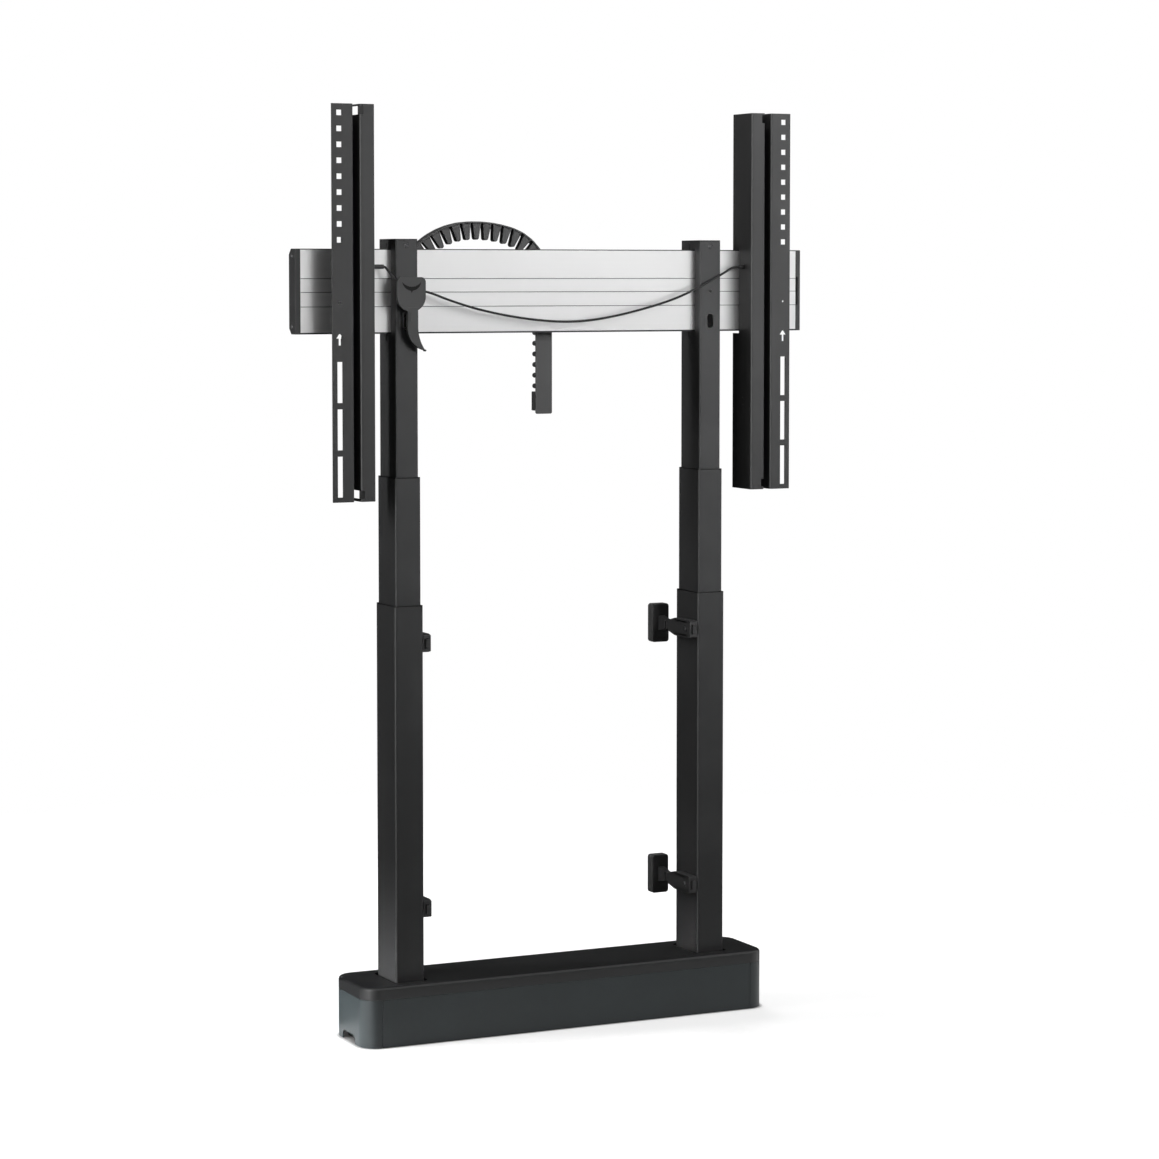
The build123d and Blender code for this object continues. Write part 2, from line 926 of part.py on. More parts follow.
def crescent_outline():
    """A half-moon with a small pointer below it."""
    middle = (crescent_left + crescent_right) / 2
    outer = ThreePointArc((crescent_left, crescent_top), (middle, crescent_low), (crescent_right, crescent_top))
    inner = ThreePointArc((crescent_right, crescent_top), (middle, crescent_high), (crescent_left, crescent_top))
    moon = make_face([outer, inner])
    half = pointer_width / 2
    pointer = make_face(
        Polyline(
            (middle - half, crescent_low + half),
            (middle + half, crescent_low + half),
            (middle, crescent_low - pointer_drop),
            close=True,
        )
    )
    return moon + pointer


def handle_outline():
    """The plate: nearly square above, a half circle below."""
    width = handle_right - handle_left
    middle = (handle_left + handle_right) / 2
    radius = width / 2
    upper = Pos(middle, (handle_top + handle_bottom + radius) / 2) * Rectangle(
        width, handle_top - handle_bottom - radius
    )
    upper = fillet(upper.vertices().group_by(Axis.Y)[-1], handle_corner)
    return upper + Pos(middle, handle_bottom + radius) * Circle(radius)


def claw_outline():
    """The curved finger hook under the plate."""
    top = handle_bottom + claw_thickness
    left = (claw_left, claw_neck_low)
    right = (claw_right, claw_neck_low)
    outline = [
        Line((claw_right, top), (claw_left, top)),
        Line((claw_left, top), left),
        ThreePointArc(left, claw_left_bulge, claw_tip),
        ThreePointArc(claw_tip, claw_right_bulge, right),
        Line(right, (claw_right, top)),
    ]
    return make_face(outline) + Pos(*claw_tip) * Circle(claw_tip_radius)


def pull_handle():
    plate = front_plate(handle_outline(), handle_front, handle_thickness)
    plate -= front_plate(crescent_outline(), handle_front - overrun, overrun + crescent_depth)
    plate += front_plate(claw_outline(), handle_back - claw_thickness, claw_thickness)
    boss = block((boss_left, boss_right), (handle_back, boss_back), (boss_low, boss_high))
    return plate + boss - rail(slide_gap)


def rail(gap):
    """The T-shaped rail on the left column's front, thicker by a gap where it is a cut."""
    face = tube_front - rail_plate_thickness
    neck_front = face - rail_stem_depth
    head_front = neck_front - rail_head_depth
    reach = overrun if gap else 0
    z = (rail_low - reach, rail_high + reach)
    stem_half = rail_stem_width / 2 + gap
    head_half = rail_head_width / 2 + gap
    stem = block((-half_spacing - stem_half, -half_spacing + stem_half), (neck_front - gap, face + reach), z)
    head = block((-half_spacing - head_half, -half_spacing + head_half), (head_front - gap, neck_front + gap), z)
    return stem + head


def handle_guide():
    half = rail_plate_width / 2
    x = (-half_spacing - half, -half_spacing + half)
    plate = block(x, (tube_front - rail_plate_thickness, tube_front), (rail_low, rail_high))
    return plate + rail(0)


# Cable chain


def chain_link(band_length):
    """One hollow link: u along the chain, v outward, closed by a rounded tooth tip."""
    half = chain_height / 2
    root = tooth_root_width / 2
    tip = tooth_tip_width / 2
    tooth = make_face(
        Polyline((-root, half - chain_band), (root, half - chain_band), (tip, tip - half), (-tip, tip - half),
                 close=True)
    )
    tooth += Pos(0, tip - half) * Circle(tip)
    band = Pos(0, half - chain_band / 2) * Rectangle(band_length, chain_band)
    link = Plane.XZ * (tooth + band)
    link = extrude(link, amount=chain_depth / 2, both=True)
    side = chain_depth / 2 - chain_plate
    link -= block((-chain_pitch, chain_pitch), (-side, side), (chain_plate - half, half - chain_band))
    return link


def chain_steps():
    """Each link's middle, heading and band length, from the free end up and over to the anchor."""
    x = drop_outer_x - chain_height / 2
    z = drop_first_pivot
    heading = drop_heading
    steps = []
    while heading < arch_end_heading:
        if len(steps) < drop_links:
            turn = 0
            band = chain_pitch - chain_gap
        else:
            outer = next(radius for limit, radius in arch_curves if heading < limit)
            neutral = outer - chain_height / 2
            turn = chain_pitch / neutral / radians(1)
            band = chain_pitch * (outer - chain_band) / neutral - chain_gap
            heading += turn / 2
        along = (cos(radians(heading)), sin(radians(heading)))
        steps.append((x + along[0] * chain_pitch / 2, z + along[1] * chain_pitch / 2, heading, band))
        x += along[0] * chain_pitch
        z += along[1] * chain_pitch
        heading += turn / 2
    return steps


def chain_links():
    middle_y = chain_front + chain_depth / 2
    links = []
    for x, z, heading, band in chain_steps():
        along = (cos(radians(heading)), 0, sin(radians(heading)))
        outward = (sin(radians(heading)), 0, -cos(radians(heading)))
        place = Plane(origin=(x, middle_y, z), x_dir=along, z_dir=outward)
        links.append(place * chain_link(band))
    return links


def chain_tab():
    """The free end's clamp, a plain block with the chain's width."""
    x = (drop_outer_x - chain_height + chain_band, drop_outer_x)
    return block(x, (chain_front, chain_front + chain_depth), (chain_tab_low, chain_tab_high))


def chain_guide_plate():
    front = chain_front - guide_thickness
    x = (drop_outer_x - chain_height, drop_outer_x)
    middle = (x[0] + x[1]) / 2
    outline = Pos(middle, (guide_low + guide_high) / 2) * RectangleRounded(
        x[1] - x[0], guide_high - guide_low, guide_corner
    )
    plate = front_plate(outline, front, guide_thickness)
    return plate + block(x, (bar_back, front), (guide_seat_low, guide_seat_high))


def chain_anchor():
    """The plate on the left clamp that the chain's first links are fixed to."""
    back = bar_back + clamp_plate_thickness
    return block((anchor_left, anchor_right), (back, chain_front), (anchor_low, anchor_high))


# Wall brackets, drawn on the left column's inner side


def bracket_housing(height):
    face = -tube_face
    nose = housing_front + housing_nose_length
    outline = [
        (housing_front, height - housing_nose_half_height),
        (nose, height - housing_half_height),
        (housing_shoulder, height - housing_half_height),
        (housing_back, height - housing_tail_half_height),
        (housing_back, height + housing_tail_half_height),
        (housing_shoulder, height + housing_half_height),
        (nose, height + housing_half_height),
        (housing_front, height + housing_nose_half_height),
    ]
    housing = side_profile(outline, face, face + housing_protrusion)
    half = arm_thickness / 2 + arm_gap
    housing -= block(
        (arm_middle - half, arm_middle + half),
        (housing_front - overrun, housing_back + overrun),
        (height - arm_half_height - arm_gap, height + arm_half_height + arm_gap),
    )
    return housing - screw_shank(height, clamp_screw_radius)


def screw_shank(height, radius):
    start = (-tube_face - tube_wall, clamp_screw_y, height)
    return rod(start, (1, 0, 0), radius, housing_protrusion + tube_wall)


def clamp_screw(height):
    start = (-tube_face + housing_protrusion, clamp_screw_y, height)
    head = rod(start, (1, 0, 0), clamp_head_radius, clamp_head_height)
    return head + screw_shank(height, clamp_screw_radius)


def wall_arm(height):
    x = (arm_middle - arm_thickness / 2, arm_middle + arm_thickness / 2)
    arm = block(x, (arm_front, pad_front), (height - arm_half_height, height + arm_half_height))
    flare = [
        (arm_flare_start, height - arm_half_height),
        (pad_front, height - arm_flare_half_height),
        (pad_front, height + arm_flare_half_height),
        (arm_flare_start, height + arm_half_height),
    ]
    half = arm_flare_thickness / 2
    arm += side_profile(flare, arm_middle - half, arm_middle + half)
    slot_width = 2 * (clamp_screw_radius + arm_slot_gap)
    slot_plane = Plane(origin=(x[0] - overrun, clamp_screw_y, height), x_dir=(0, 1, 0), z_dir=(1, 0, 0))
    slot = slot_plane * SlotOverall(2 * arm_travel + 2 * slot_width, slot_width)
    return arm - extrude(slot, amount=arm_thickness + 2 * overrun)


def wall_pad(height):
    middle = -half_spacing + pad_offset
    pad = block(
        (middle - pad_width / 2, middle + pad_width / 2),
        (pad_front, pad_back),
        (height - pad_height / 2, height + pad_height / 2),
    )
    return fillet(pad.edges().filter_by(Axis.Y), pad_round)


# Every piece is written to its own file


def write_base():
    save(base_floor_plate(), "base_floor_plate")
    save(base_panel(-1), "base_front_panel")
    save(base_panel(1), "base_rear_panel")
    save_pair(base_end_cap(), "base_end_cap")
    save(base_lid(), "base_lid")
    at_left = Pos(-half_spacing, 0, 0)
    save(both(at_left * column_socket()), "column_sockets")
    save(both(at_left * gearbox()), "gearboxes")
    save(both(at_left * motor()), "motors")
    save(control_box(), "control_box")
    save(control_board(), "control_board")
    save(group([motor_lead(side) for side in SIDES.values()]), "motor_leads")


def write_columns():
    at_left = Pos(-half_spacing, 0, 0)
    save_pair(at_left * outer_tube(), "outer_tube")
    save(both(at_left * outer_glide()), "outer_glides")
    save_pair(at_left * middle_tube(), "middle_tube")
    glides = [at_left * piece for piece in middle_glides()]
    save(group(glides), "middle_glides_left")
    save(group([on_right(piece) for piece in glides]), "middle_glides_right")
    save_pair(at_left * lower_nut(), "lower_nut")
    save_pair(at_left * lower_spindle(), "lower_spindle")
    save_pair(at_left * upper_spindle(), "upper_spindle")
    save_pair(at_left * inner_tube(), "inner_tube")
    save(both(at_left * inner_nut()), "inner_nuts")
    save(both(at_left * inner_glide()), "inner_glides")
    save(both(at_left * tube_cap()), "tube_caps")


def write_bar():
    save(crossbar_beam(), "crossbar_beam")
    save(crossbar_fascia(), "crossbar_fascia")
    save(bar_end_cap(), "bar_end_cap_left")
    save(on_right(bar_end_cap()) - level_slot_cut(), "bar_end_cap_right")
    save(both(bar_clamp()), "bar_clamps")
    screws = carriage_screws()
    save(group(screws + [on_right(screw) for screw in screws]), "carriage_screws")


def write_strips():
    save_pair(display_strip(), "display_strip")
    save(both(strip_keeper()), "strip_keepers")
    save(group([latch_sleeve("left"), on_right(latch_sleeve("right"))]), "latch_sleeves")
    save(latch_bolt("left"), "latch_bolt_left")
    save(on_right(latch_bolt("right")), "latch_bolt_right")


def write_release():
    save(pull_handle(), "pull_handle")
    save(handle_guide(), "handle_guide")
    save(tube_along(cord_left_route, cord_radius), "cord_left")
    save(tube_along(cord_right_route, cord_radius), "cord_right")


def write_chain():
    links = chain_links()
    save(group(links[:drop_links] + [chain_tab()]), "chain_drop")
    save(group(links[drop_links:]), "chain_arch")
    save(chain_guide_plate(), "chain_guide_plate")
    save(chain_anchor(), "chain_anchor")


def write_brackets():
    heights = bracket_heights.values()
    housings = [bracket_housing(height) for height in heights]
    screws = [clamp_screw(height) for height in heights]
    save(group(housings + [on_right(piece) for piece in housings]), "wall_clamp_housings")
    save(group(screws + [on_right(piece) for piece in screws]), "clamp_screws")
    for level, height in bracket_heights.items():
        save_pair(wall_arm(height), "wall_arm_" + level)
        save_pair(wall_pad(height), "wall_pad_" + level)


os.makedirs("parts", exist_ok=True)
write_base()
write_columns()
write_bar()
write_strips()
write_release()
write_chain()
write_brackets()
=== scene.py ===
import json
from contextlib import contextmanager
from math import cos, pi, radians, sin

import bmesh
import bpy
from bpy.props import FloatProperty, FloatVectorProperty, IntProperty, PointerProperty
from bpy.types import Operator, Panel, PropertyGroup
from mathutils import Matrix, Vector
from mathutils.geometry import delaunay_2d_cdt

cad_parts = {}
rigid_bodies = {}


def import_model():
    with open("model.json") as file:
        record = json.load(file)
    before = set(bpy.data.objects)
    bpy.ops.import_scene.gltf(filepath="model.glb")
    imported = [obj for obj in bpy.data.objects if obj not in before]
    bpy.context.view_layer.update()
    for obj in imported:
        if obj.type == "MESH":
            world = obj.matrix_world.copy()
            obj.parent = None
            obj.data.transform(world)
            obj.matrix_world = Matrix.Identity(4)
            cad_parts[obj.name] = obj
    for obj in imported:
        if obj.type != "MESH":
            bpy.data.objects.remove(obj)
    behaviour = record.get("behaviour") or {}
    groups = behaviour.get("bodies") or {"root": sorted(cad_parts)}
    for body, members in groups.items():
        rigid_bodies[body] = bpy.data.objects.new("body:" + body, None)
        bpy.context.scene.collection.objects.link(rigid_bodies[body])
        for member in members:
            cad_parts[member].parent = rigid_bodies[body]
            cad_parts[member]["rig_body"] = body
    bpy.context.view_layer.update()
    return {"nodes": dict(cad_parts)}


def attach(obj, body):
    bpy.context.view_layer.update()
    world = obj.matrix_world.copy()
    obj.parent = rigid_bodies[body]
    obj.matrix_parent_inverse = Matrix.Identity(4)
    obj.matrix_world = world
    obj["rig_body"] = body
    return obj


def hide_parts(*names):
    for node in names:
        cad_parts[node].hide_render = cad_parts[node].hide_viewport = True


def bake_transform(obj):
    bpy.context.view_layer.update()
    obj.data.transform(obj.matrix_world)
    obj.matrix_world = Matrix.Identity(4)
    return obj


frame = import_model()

bl_info = {
    "name": "Display lift",
    "version": (1, 0, 0),
    "blender": (4, 5, 0),
    "location": "View3D > Sidebar > Lift",
    "description": "Dresses a floor-standing display lift around its CAD frame",
    "category": "Object",
}

nodes = frame["nodes"]
MM = 0.001

# The release cords' routes, in metres, from sleeve to handle and from handle to sleeve
CORD_LEFT_ROUTE = [
    (-0.314, -0.032, 1.2545), (-0.311, -0.032, 1.2545), (-0.307, -0.0346, 1.2478),
    (-0.3005, -0.0386, 1.2385), (-0.295, -0.0413, 1.2295), (-0.285, -0.0413, 1.2295),
]
CORD_RIGHT_ROUTE = [
    (-0.256, -0.0413, 1.2154), (-0.248, -0.0413, 1.2154), (-0.233, -0.042, 1.2114),
    (-0.204, -0.0426, 1.2004), (-0.162, -0.0428, 1.1878), (-0.115, -0.043, 1.1774),
    (-0.06, -0.043, 1.1688), (-0.005, -0.043, 1.1644), (0.045, -0.043, 1.166),
    (0.1, -0.0428, 1.1746), (0.156, -0.0426, 1.1876), (0.205, -0.0424, 1.2014),
    (0.255, -0.0416, 1.2226), (0.299, -0.0394, 1.245), (0.314, -0.035, 1.2522),
    (0.323, -0.032, 1.2545), (0.331, -0.032, 1.2545),
]

# CAD nodes that each operator shows as copies with softened edges: bevel width in millimetres, steps, nodes
SOFTENED = {
    "base": (
        (0.9, 2, "base_front_panel", "base_rear_panel", "base_end_cap_left", "base_end_cap_right"),
        (0.6, 2, "base_lid"),
    ),
    "columns": (
        (0.3, 1, "outer_tube_left", "outer_tube_right", "middle_tube_left", "middle_tube_right"),
        (0.2, 1, "inner_tube_left", "inner_tube_right"),
        (0.5, 2, "tube_caps"),
    ),
    "crossbar": (
        (0.2, 2, "crossbar_beam"),
        (0.15, 1, "crossbar_fascia"),
        (0.5, 2, "bar_end_cap_left", "bar_end_cap_right", "bar_clamps"),
    ),
    "strips": (
        (0.3, 1, "display_strip_left", "display_strip_right"),
        (0.4, 2, "strip_keepers"),
        (0.3, 2, "latch_sleeves"),
    ),
    "release": (
        (0.2, 2, "pull_handle"),
        (0.3, 1, "handle_guide"),
    ),
    "chain": (
        (0.5, 2, "chain_guide_plate", "chain_anchor"),
    ),
    "brackets": (
        (0.5, 2, "wall_clamp_housings"),
        (0.6, 2, "wall_arm_upper_left", "wall_arm_upper_right"),
        (0.6, 2, "wall_arm_lower_left", "wall_arm_lower_right"),
    ),
}

# How near points are one point, in metres: in a mesh made here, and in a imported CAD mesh
WELD = 1e-6
CAD_WELD = 2e-6

# How far a vertex may lie off a flat and still be on it
FLAT_TOLERANCE = 1e-5

# The angles above which a CAD edge is rounded, and a turned or a cushioned edge is shaded sharp
SOFTENED_ANGLE = radians(33)
SHARP_ANGLE = radians(32)
CUSHION_SHARP_ANGLE = radians(40)

# The grain's depth under a bump strength of one
BUMP_DISTANCE = 0.0004

# The silver front's grooves, as the frame has them, and the dark line of painted shade in each
BAR_BOTTOM = 1.147
BAR_TOP = 1.283
GROOVE_SHARES = (0.35, 0.51, 0.68)
GROOVE_LINE_HALF_LENGTH = 0.4488
GROOVE_LINE_HALF_HEIGHT = 0.0004
GROOVE_LINE_DEPTHS = (-0.01492, -0.01462)

# The small pips on the strips' flanges: sideways and depth, and the heights on the left and the right
PIP_X = 0.3395
PIP_Y = -0.03
PIP_HEIGHTS_LEFT = (1.0355, 1.0465)
PIP_HEIGHTS_RIGHT = (1.0225, 1.034)
UPPER_PIP = (0.3395, -0.0148, 1.4177)

# The pull handle: the crescent's own floor, the depths of the near-black sheet that paints the shade in the
# crescent's recess, the two ribs and the wire spring
CRESCENT_FLOOR_Y = -0.0455
CRESCENT_SHADE_DEPTHS = (-0.0496, -0.0462)
HANDLE_RIB_PLACES = (-0.2782, -0.275)
HANDLE_RIB_HALF_WIDTH = 0.0006
HANDLE_RIB_HEIGHTS = (1.1655, 1.1835)
HANDLE_RIB_DEPTHS = (-0.0518, -0.0508)
SPRING_X = (-0.2859, -0.2797)
SPRING_Y = -0.0466
SPRING_Z = (1.1566, 1.181)
SPRING_CORNER = 0.003069
SPRING_RADIUS = 0.0013

# The wall brackets: their heights, the pads, and the thin lines let into the housings' inner faces
BRACKET_HEIGHTS = {"upper": 0.647, "lower": 0.2135}
SIDES = {"left": -1, "right": 1}
PAD_X = (0.226, 0.258)
PAD_HALF_HEIGHT = 0.033
PAD_DEPTHS = (0.081, 0.1)
PAD_CORNER = 0.005
PAD_EDGE = 0.0022
HOUSING_FACE_X = 0.236
HOUSING_RIB_RISES = (-0.0112, 0.0112)
HOUSING_RIB_HALF_HEIGHT = 0.0011
HOUSING_RIB_DEPTHS = (-0.0265, 0.018)
HOUSING_RIB_THICKNESS = 0.0012
CLAMP_SCREW_Y = -0.022

# Turned shapes as (radius, height) points, from the axis and back to it
PIP = [(0, -0.0004), (0.0016, -0.0004), (0.0016, 0.0002), (0.0012, 0.0005), (0, 0.0006)]
RING_SCREW = [
    (0, -0.0005), (0.004, -0.0005), (0.004, 0.0004), (0.0037, 0.0007), (0.0031, 0.0001), (0.0025, 0.0012),
    (0.0022, 0.0014), (0.0013, 0.0014), (0.0011, 0.0006), (0, 0.0005),
]
CLAMP_SCREW = [
    (0, -0.0155), (0.002, -0.0155), (0.002, 0), (0.004, 0), (0.004, 0.0017), (0.0034, 0.0025),
    (0.0019, 0.0025), (0.0016, 0.0011), (0, 0.001),
]

# The carriage's screws: columns' front, bar clamps' rear, and end caps' ends
COLUMN_SCREW = (0.275, -0.0345, 1.289)
CLAMP_SCREW_XS = (0.248, 0.302)
CLAMP_SCREW_HEIGHTS = (1.168, 1.264)
CLAMP_REAR_Y = 0.016
CAP_SCREW_X = 0.458
CAP_SCREW_HEIGHTS = (1.159, 1.271)


# Settings


def length_setting(name, about, default):
    return FloatProperty(name=name, description=about, default=default, min=0.001, unit="LENGTH")


def power_setting(name, about, default):
    return FloatProperty(name=name, description=about, default=default, min=0, unit="POWER")


def colour_setting(name, about, default):
    return FloatVectorProperty(name=name, description=about, default=default, subtype="COLOR", min=0, max=1)


class LiftSizes(PropertyGroup):
    """Sizes of the dressed pieces."""

    cord_diameter: length_setting("Cord diameter", "Across the release cords", 0.0038)
    edge_scale: FloatProperty(
        name="Edge softening", description="Scales the bevel on every cut and folded edge", default=1.0,
        min=0.2, max=2.0, subtype="FACTOR",
    )
    link_pitch: length_setting("Link pitch", "From one chain link to the next, on the neutral line", 0.0176)
    link_height: length_setting("Link height", "From the band's outside to the tooth's tip", 0.0298)
    link_depth: length_setting("Link depth", "The chain's size from front to back", 0.02)
    tooth_depth: length_setting("Tooth depth", "A link's tooth from front to back", 0.0116)
    drop_links: IntProperty(name="Hanging links", description="Links in the straight drop", default=10, min=1)


class LiftColours(PropertyGroup):
    """Main colours of the finishes, each the lighter tone of its grain."""

    column: colour_setting("Columns", "Satin powder coat of the telescopic tubes", (0.034, 0.0342, 0.0348))
    strip: colour_setting("Display strips", "Matt powder coat of the folded strips", (0.028, 0.028, 0.0284))
    fascia: colour_setting("Crossbar front", "Satin anodised aluminium", (0.76, 0.76, 0.76))
    base: colour_setting("Base", "Graphite plastic of the base", (0.028, 0.034, 0.036))
    lid: colour_setting("Lid", "Black plastic of the lid", (0.013, 0.0132, 0.0137))
    plastic: colour_setting("Small plastic parts", "Moulded black plastic", (0.026, 0.026, 0.0265))


class LiftStage(PropertyGroup):
    """The camera, the lamps and the floor."""

    camera_place: FloatVectorProperty(
        name="Camera place", description="Where the camera stands", default=(-2.3287, -4.9491, 1.2441),
        subtype="TRANSLATION", unit="LENGTH",
    )
    camera_turn: FloatProperty(
        name="Camera turn", description="Clockwise from square on to the bar", default=radians(25.658),
        subtype="ANGLE",
    )
    camera_tilt: FloatProperty(
        name="Camera tilt", description="Downwards from level", default=radians(3.687), subtype="ANGLE"
    )
    camera_lens: FloatProperty(name="Lens", description="Focal length", default=102.96, unit="CAMERA")
    camera_shift: FloatProperty(
        name="Shift", description="Vertical lens shift, as a share of the sensor", default=-0.08,
        min=-1, max=1, subtype="FACTOR",
    )
    floor_radius: length_setting("Floor radius", "Where the pale floor has faded out", 2.6)
    side_power: power_setting("Side lamp", "The tall narrow lamp at the left", 27)
    low_power: power_setting("Low lamp", "The small lamp near the floor, for the base's left end", 1.3)
    front_power: power_setting("Front lamp", "The lamp above the front", 14.5)
    rear_power: power_setting("Rear lamp", "The lamp behind, for the object's back", 42)
    edge_power: power_setting("Edge lamp", "The lamp that only reflections see, which draws the edges", 80)


# Shader node groups


def new_group(name, inputs, outputs):
    """A shader group: a number makes a float input, four values a colour, and three or none a vector."""
    group = bpy.data.node_groups.new(name, "ShaderNodeTree")
    for label, value in inputs.items():
        kind = "Float" if isinstance(value, float) else "Color" if value and len(value) == 4 else "Vector"
        socket = group.interface.new_socket(name=label, in_out="INPUT", socket_type="NodeSocket" + kind)
        if value is not None:
            socket.default_value = value
    for label in outputs:
        kind = "Color" if label == "Colour" else "Float"
        group.interface.new_socket(name=label, in_out="OUTPUT", socket_type="NodeSocket" + kind)
    return group, group.nodes.new("NodeGroupInput"), group.nodes.new("NodeGroupOutput")


def feed(tree, node, inputs):
    """Gives a node's inputs, by name or number, a value each or a socket to be linked to."""
    for key, value in inputs.items():
        if isinstance(value, bpy.types.NodeSocket):
            tree.links.new(value, node.inputs[key])
        else:
            node.inputs[key].default_value = value


def add_node(tree, kind, inputs=None, **settings):
    node = tree.nodes.new(kind)
    for name, value in settings.items():
        setattr(node, name, value)
    feed(tree, node, inputs or {})
    return node


def remap(tree, source, low, high, to_low, to_high):
    """A clamped range of a value; each limit is a number or a socket."""
    inputs = {"Value": source, "From Min": low, "From Max": high, "To Min": to_low, "To Max": to_high}
    return add_node(tree, "ShaderNodeMapRange", inputs).outputs["Result"]


def blend_colours(tree, factor, dark, light):
    node = add_node(tree, "ShaderNodeMix", {"Factor": factor}, data_type="RGBA")
    colour_inputs = [socket for socket in node.inputs if socket.type == "RGBA"]
    tree.links.new(dark, colour_inputs[0])
    tree.links.new(light, colour_inputs[1])
    return next(socket for socket in node.outputs if socket.type == "RGBA")


def noise(tree, vector, scale, detail=3.0, roughness=0.55):
    inputs = {"Vector": vector, "Scale": scale, "Detail": detail, "Roughness": roughness}
    return add_node(tree, "ShaderNodeTexNoise", inputs, noise_dimensions="3D").outputs["Fac"]


def grain_outputs(group, entry, end, value, low, high):
    """A grain's two colours, roughness and height, from a noise between two limits."""
    mask = remap(group, value, low, high, 0.0, 1.0)
    colour = blend_colours(group, mask, entry.outputs["Dark"], entry.outputs["Light"])
    rough = remap(group, value, low, high, entry.outputs["Smoothest"], entry.outputs["Roughest"])
    feed(group, end, {"Colour": colour, "Roughness": rough, "Height": mask})


GRAIN_OUTPUTS = ("Colour", "Roughness", "Height")


def surface_grain_group():
    """A fine even grain, for powder coat and moulded plastic."""
    inputs = {
        "Vector": None, "Grain": 900.0, "Dark": (0.01, 0.01, 0.01, 1), "Light": (0.02, 0.02, 0.02, 1),
        "Smoothest": 0.4, "Roughest": 0.5,
    }
    group, entry, end = new_group("Surface Grain", inputs, GRAIN_OUTPUTS)
    fine = noise(group, entry.outputs["Vector"], entry.outputs["Grain"])
    grain_outputs(group, entry, end, fine, 0.3, 0.7)


def brushed_grain_group():
    """Fine lines along X, for the anodised front and turned steel."""
    inputs = {
        "Vector": None, "Stretch": (6.0, 700.0, 1600.0), "Dark": (0.7, 0.7, 0.7, 1),
        "Light": (0.8, 0.8, 0.8, 1), "Smoothest": 0.3, "Roughest": 0.42,
    }
    group, entry, end = new_group("Brushed Grain", inputs, GRAIN_OUTPUTS)
    stretch_inputs = {0: entry.outputs["Vector"], 1: entry.outputs["Stretch"]}
    stretch = add_node(group, "ShaderNodeVectorMath", stretch_inputs, operation="MULTIPLY")
    lines = noise(group, stretch.outputs["Vector"], 1.0, detail=2.0)
    grain_outputs(group, entry, end, lines, 0.25, 0.75)


def handling_marks_group():
    """Broad faint clouds, where a coat or plastic is a little duller."""
    inputs = {
        "Vector": None, "Size": 9.0, "Colour": (0.02, 0.02, 0.02, 1), "Dulled": (0.03, 0.03, 0.03, 1),
        "Roughness": 0.45, "Extra": 0.06,
    }
    group, entry, end = new_group("Handling Marks", inputs, ("Colour", "Roughness"))
    clouds = noise(group, entry.outputs["Vector"], entry.outputs["Size"], detail=4.0)
    mask = remap(group, clouds, 0.45, 0.75, 0.0, 1.0)
    marked = blend_colours(group, mask, entry.outputs["Colour"], entry.outputs["Dulled"])
    rough_inputs = {0: mask, 1: entry.outputs["Extra"], 2: entry.outputs["Roughness"]}
    rough = add_node(group, "ShaderNodeMath", rough_inputs, operation="MULTIPLY_ADD")
    feed(group, end, {"Colour": marked, "Roughness": rough.outputs["Value"]})


GROUP_MAKERS = {
    "Surface Grain": surface_grain_group,
    "Brushed Grain": brushed_grain_group,
    "Handling Marks": handling_marks_group,
}


def use_group(tree, name, inputs):
    if name not in bpy.data.node_groups:
        GROUP_MAKERS[name]()
    return add_node(tree, "ShaderNodeGroup", inputs, node_tree=bpy.data.node_groups[name])


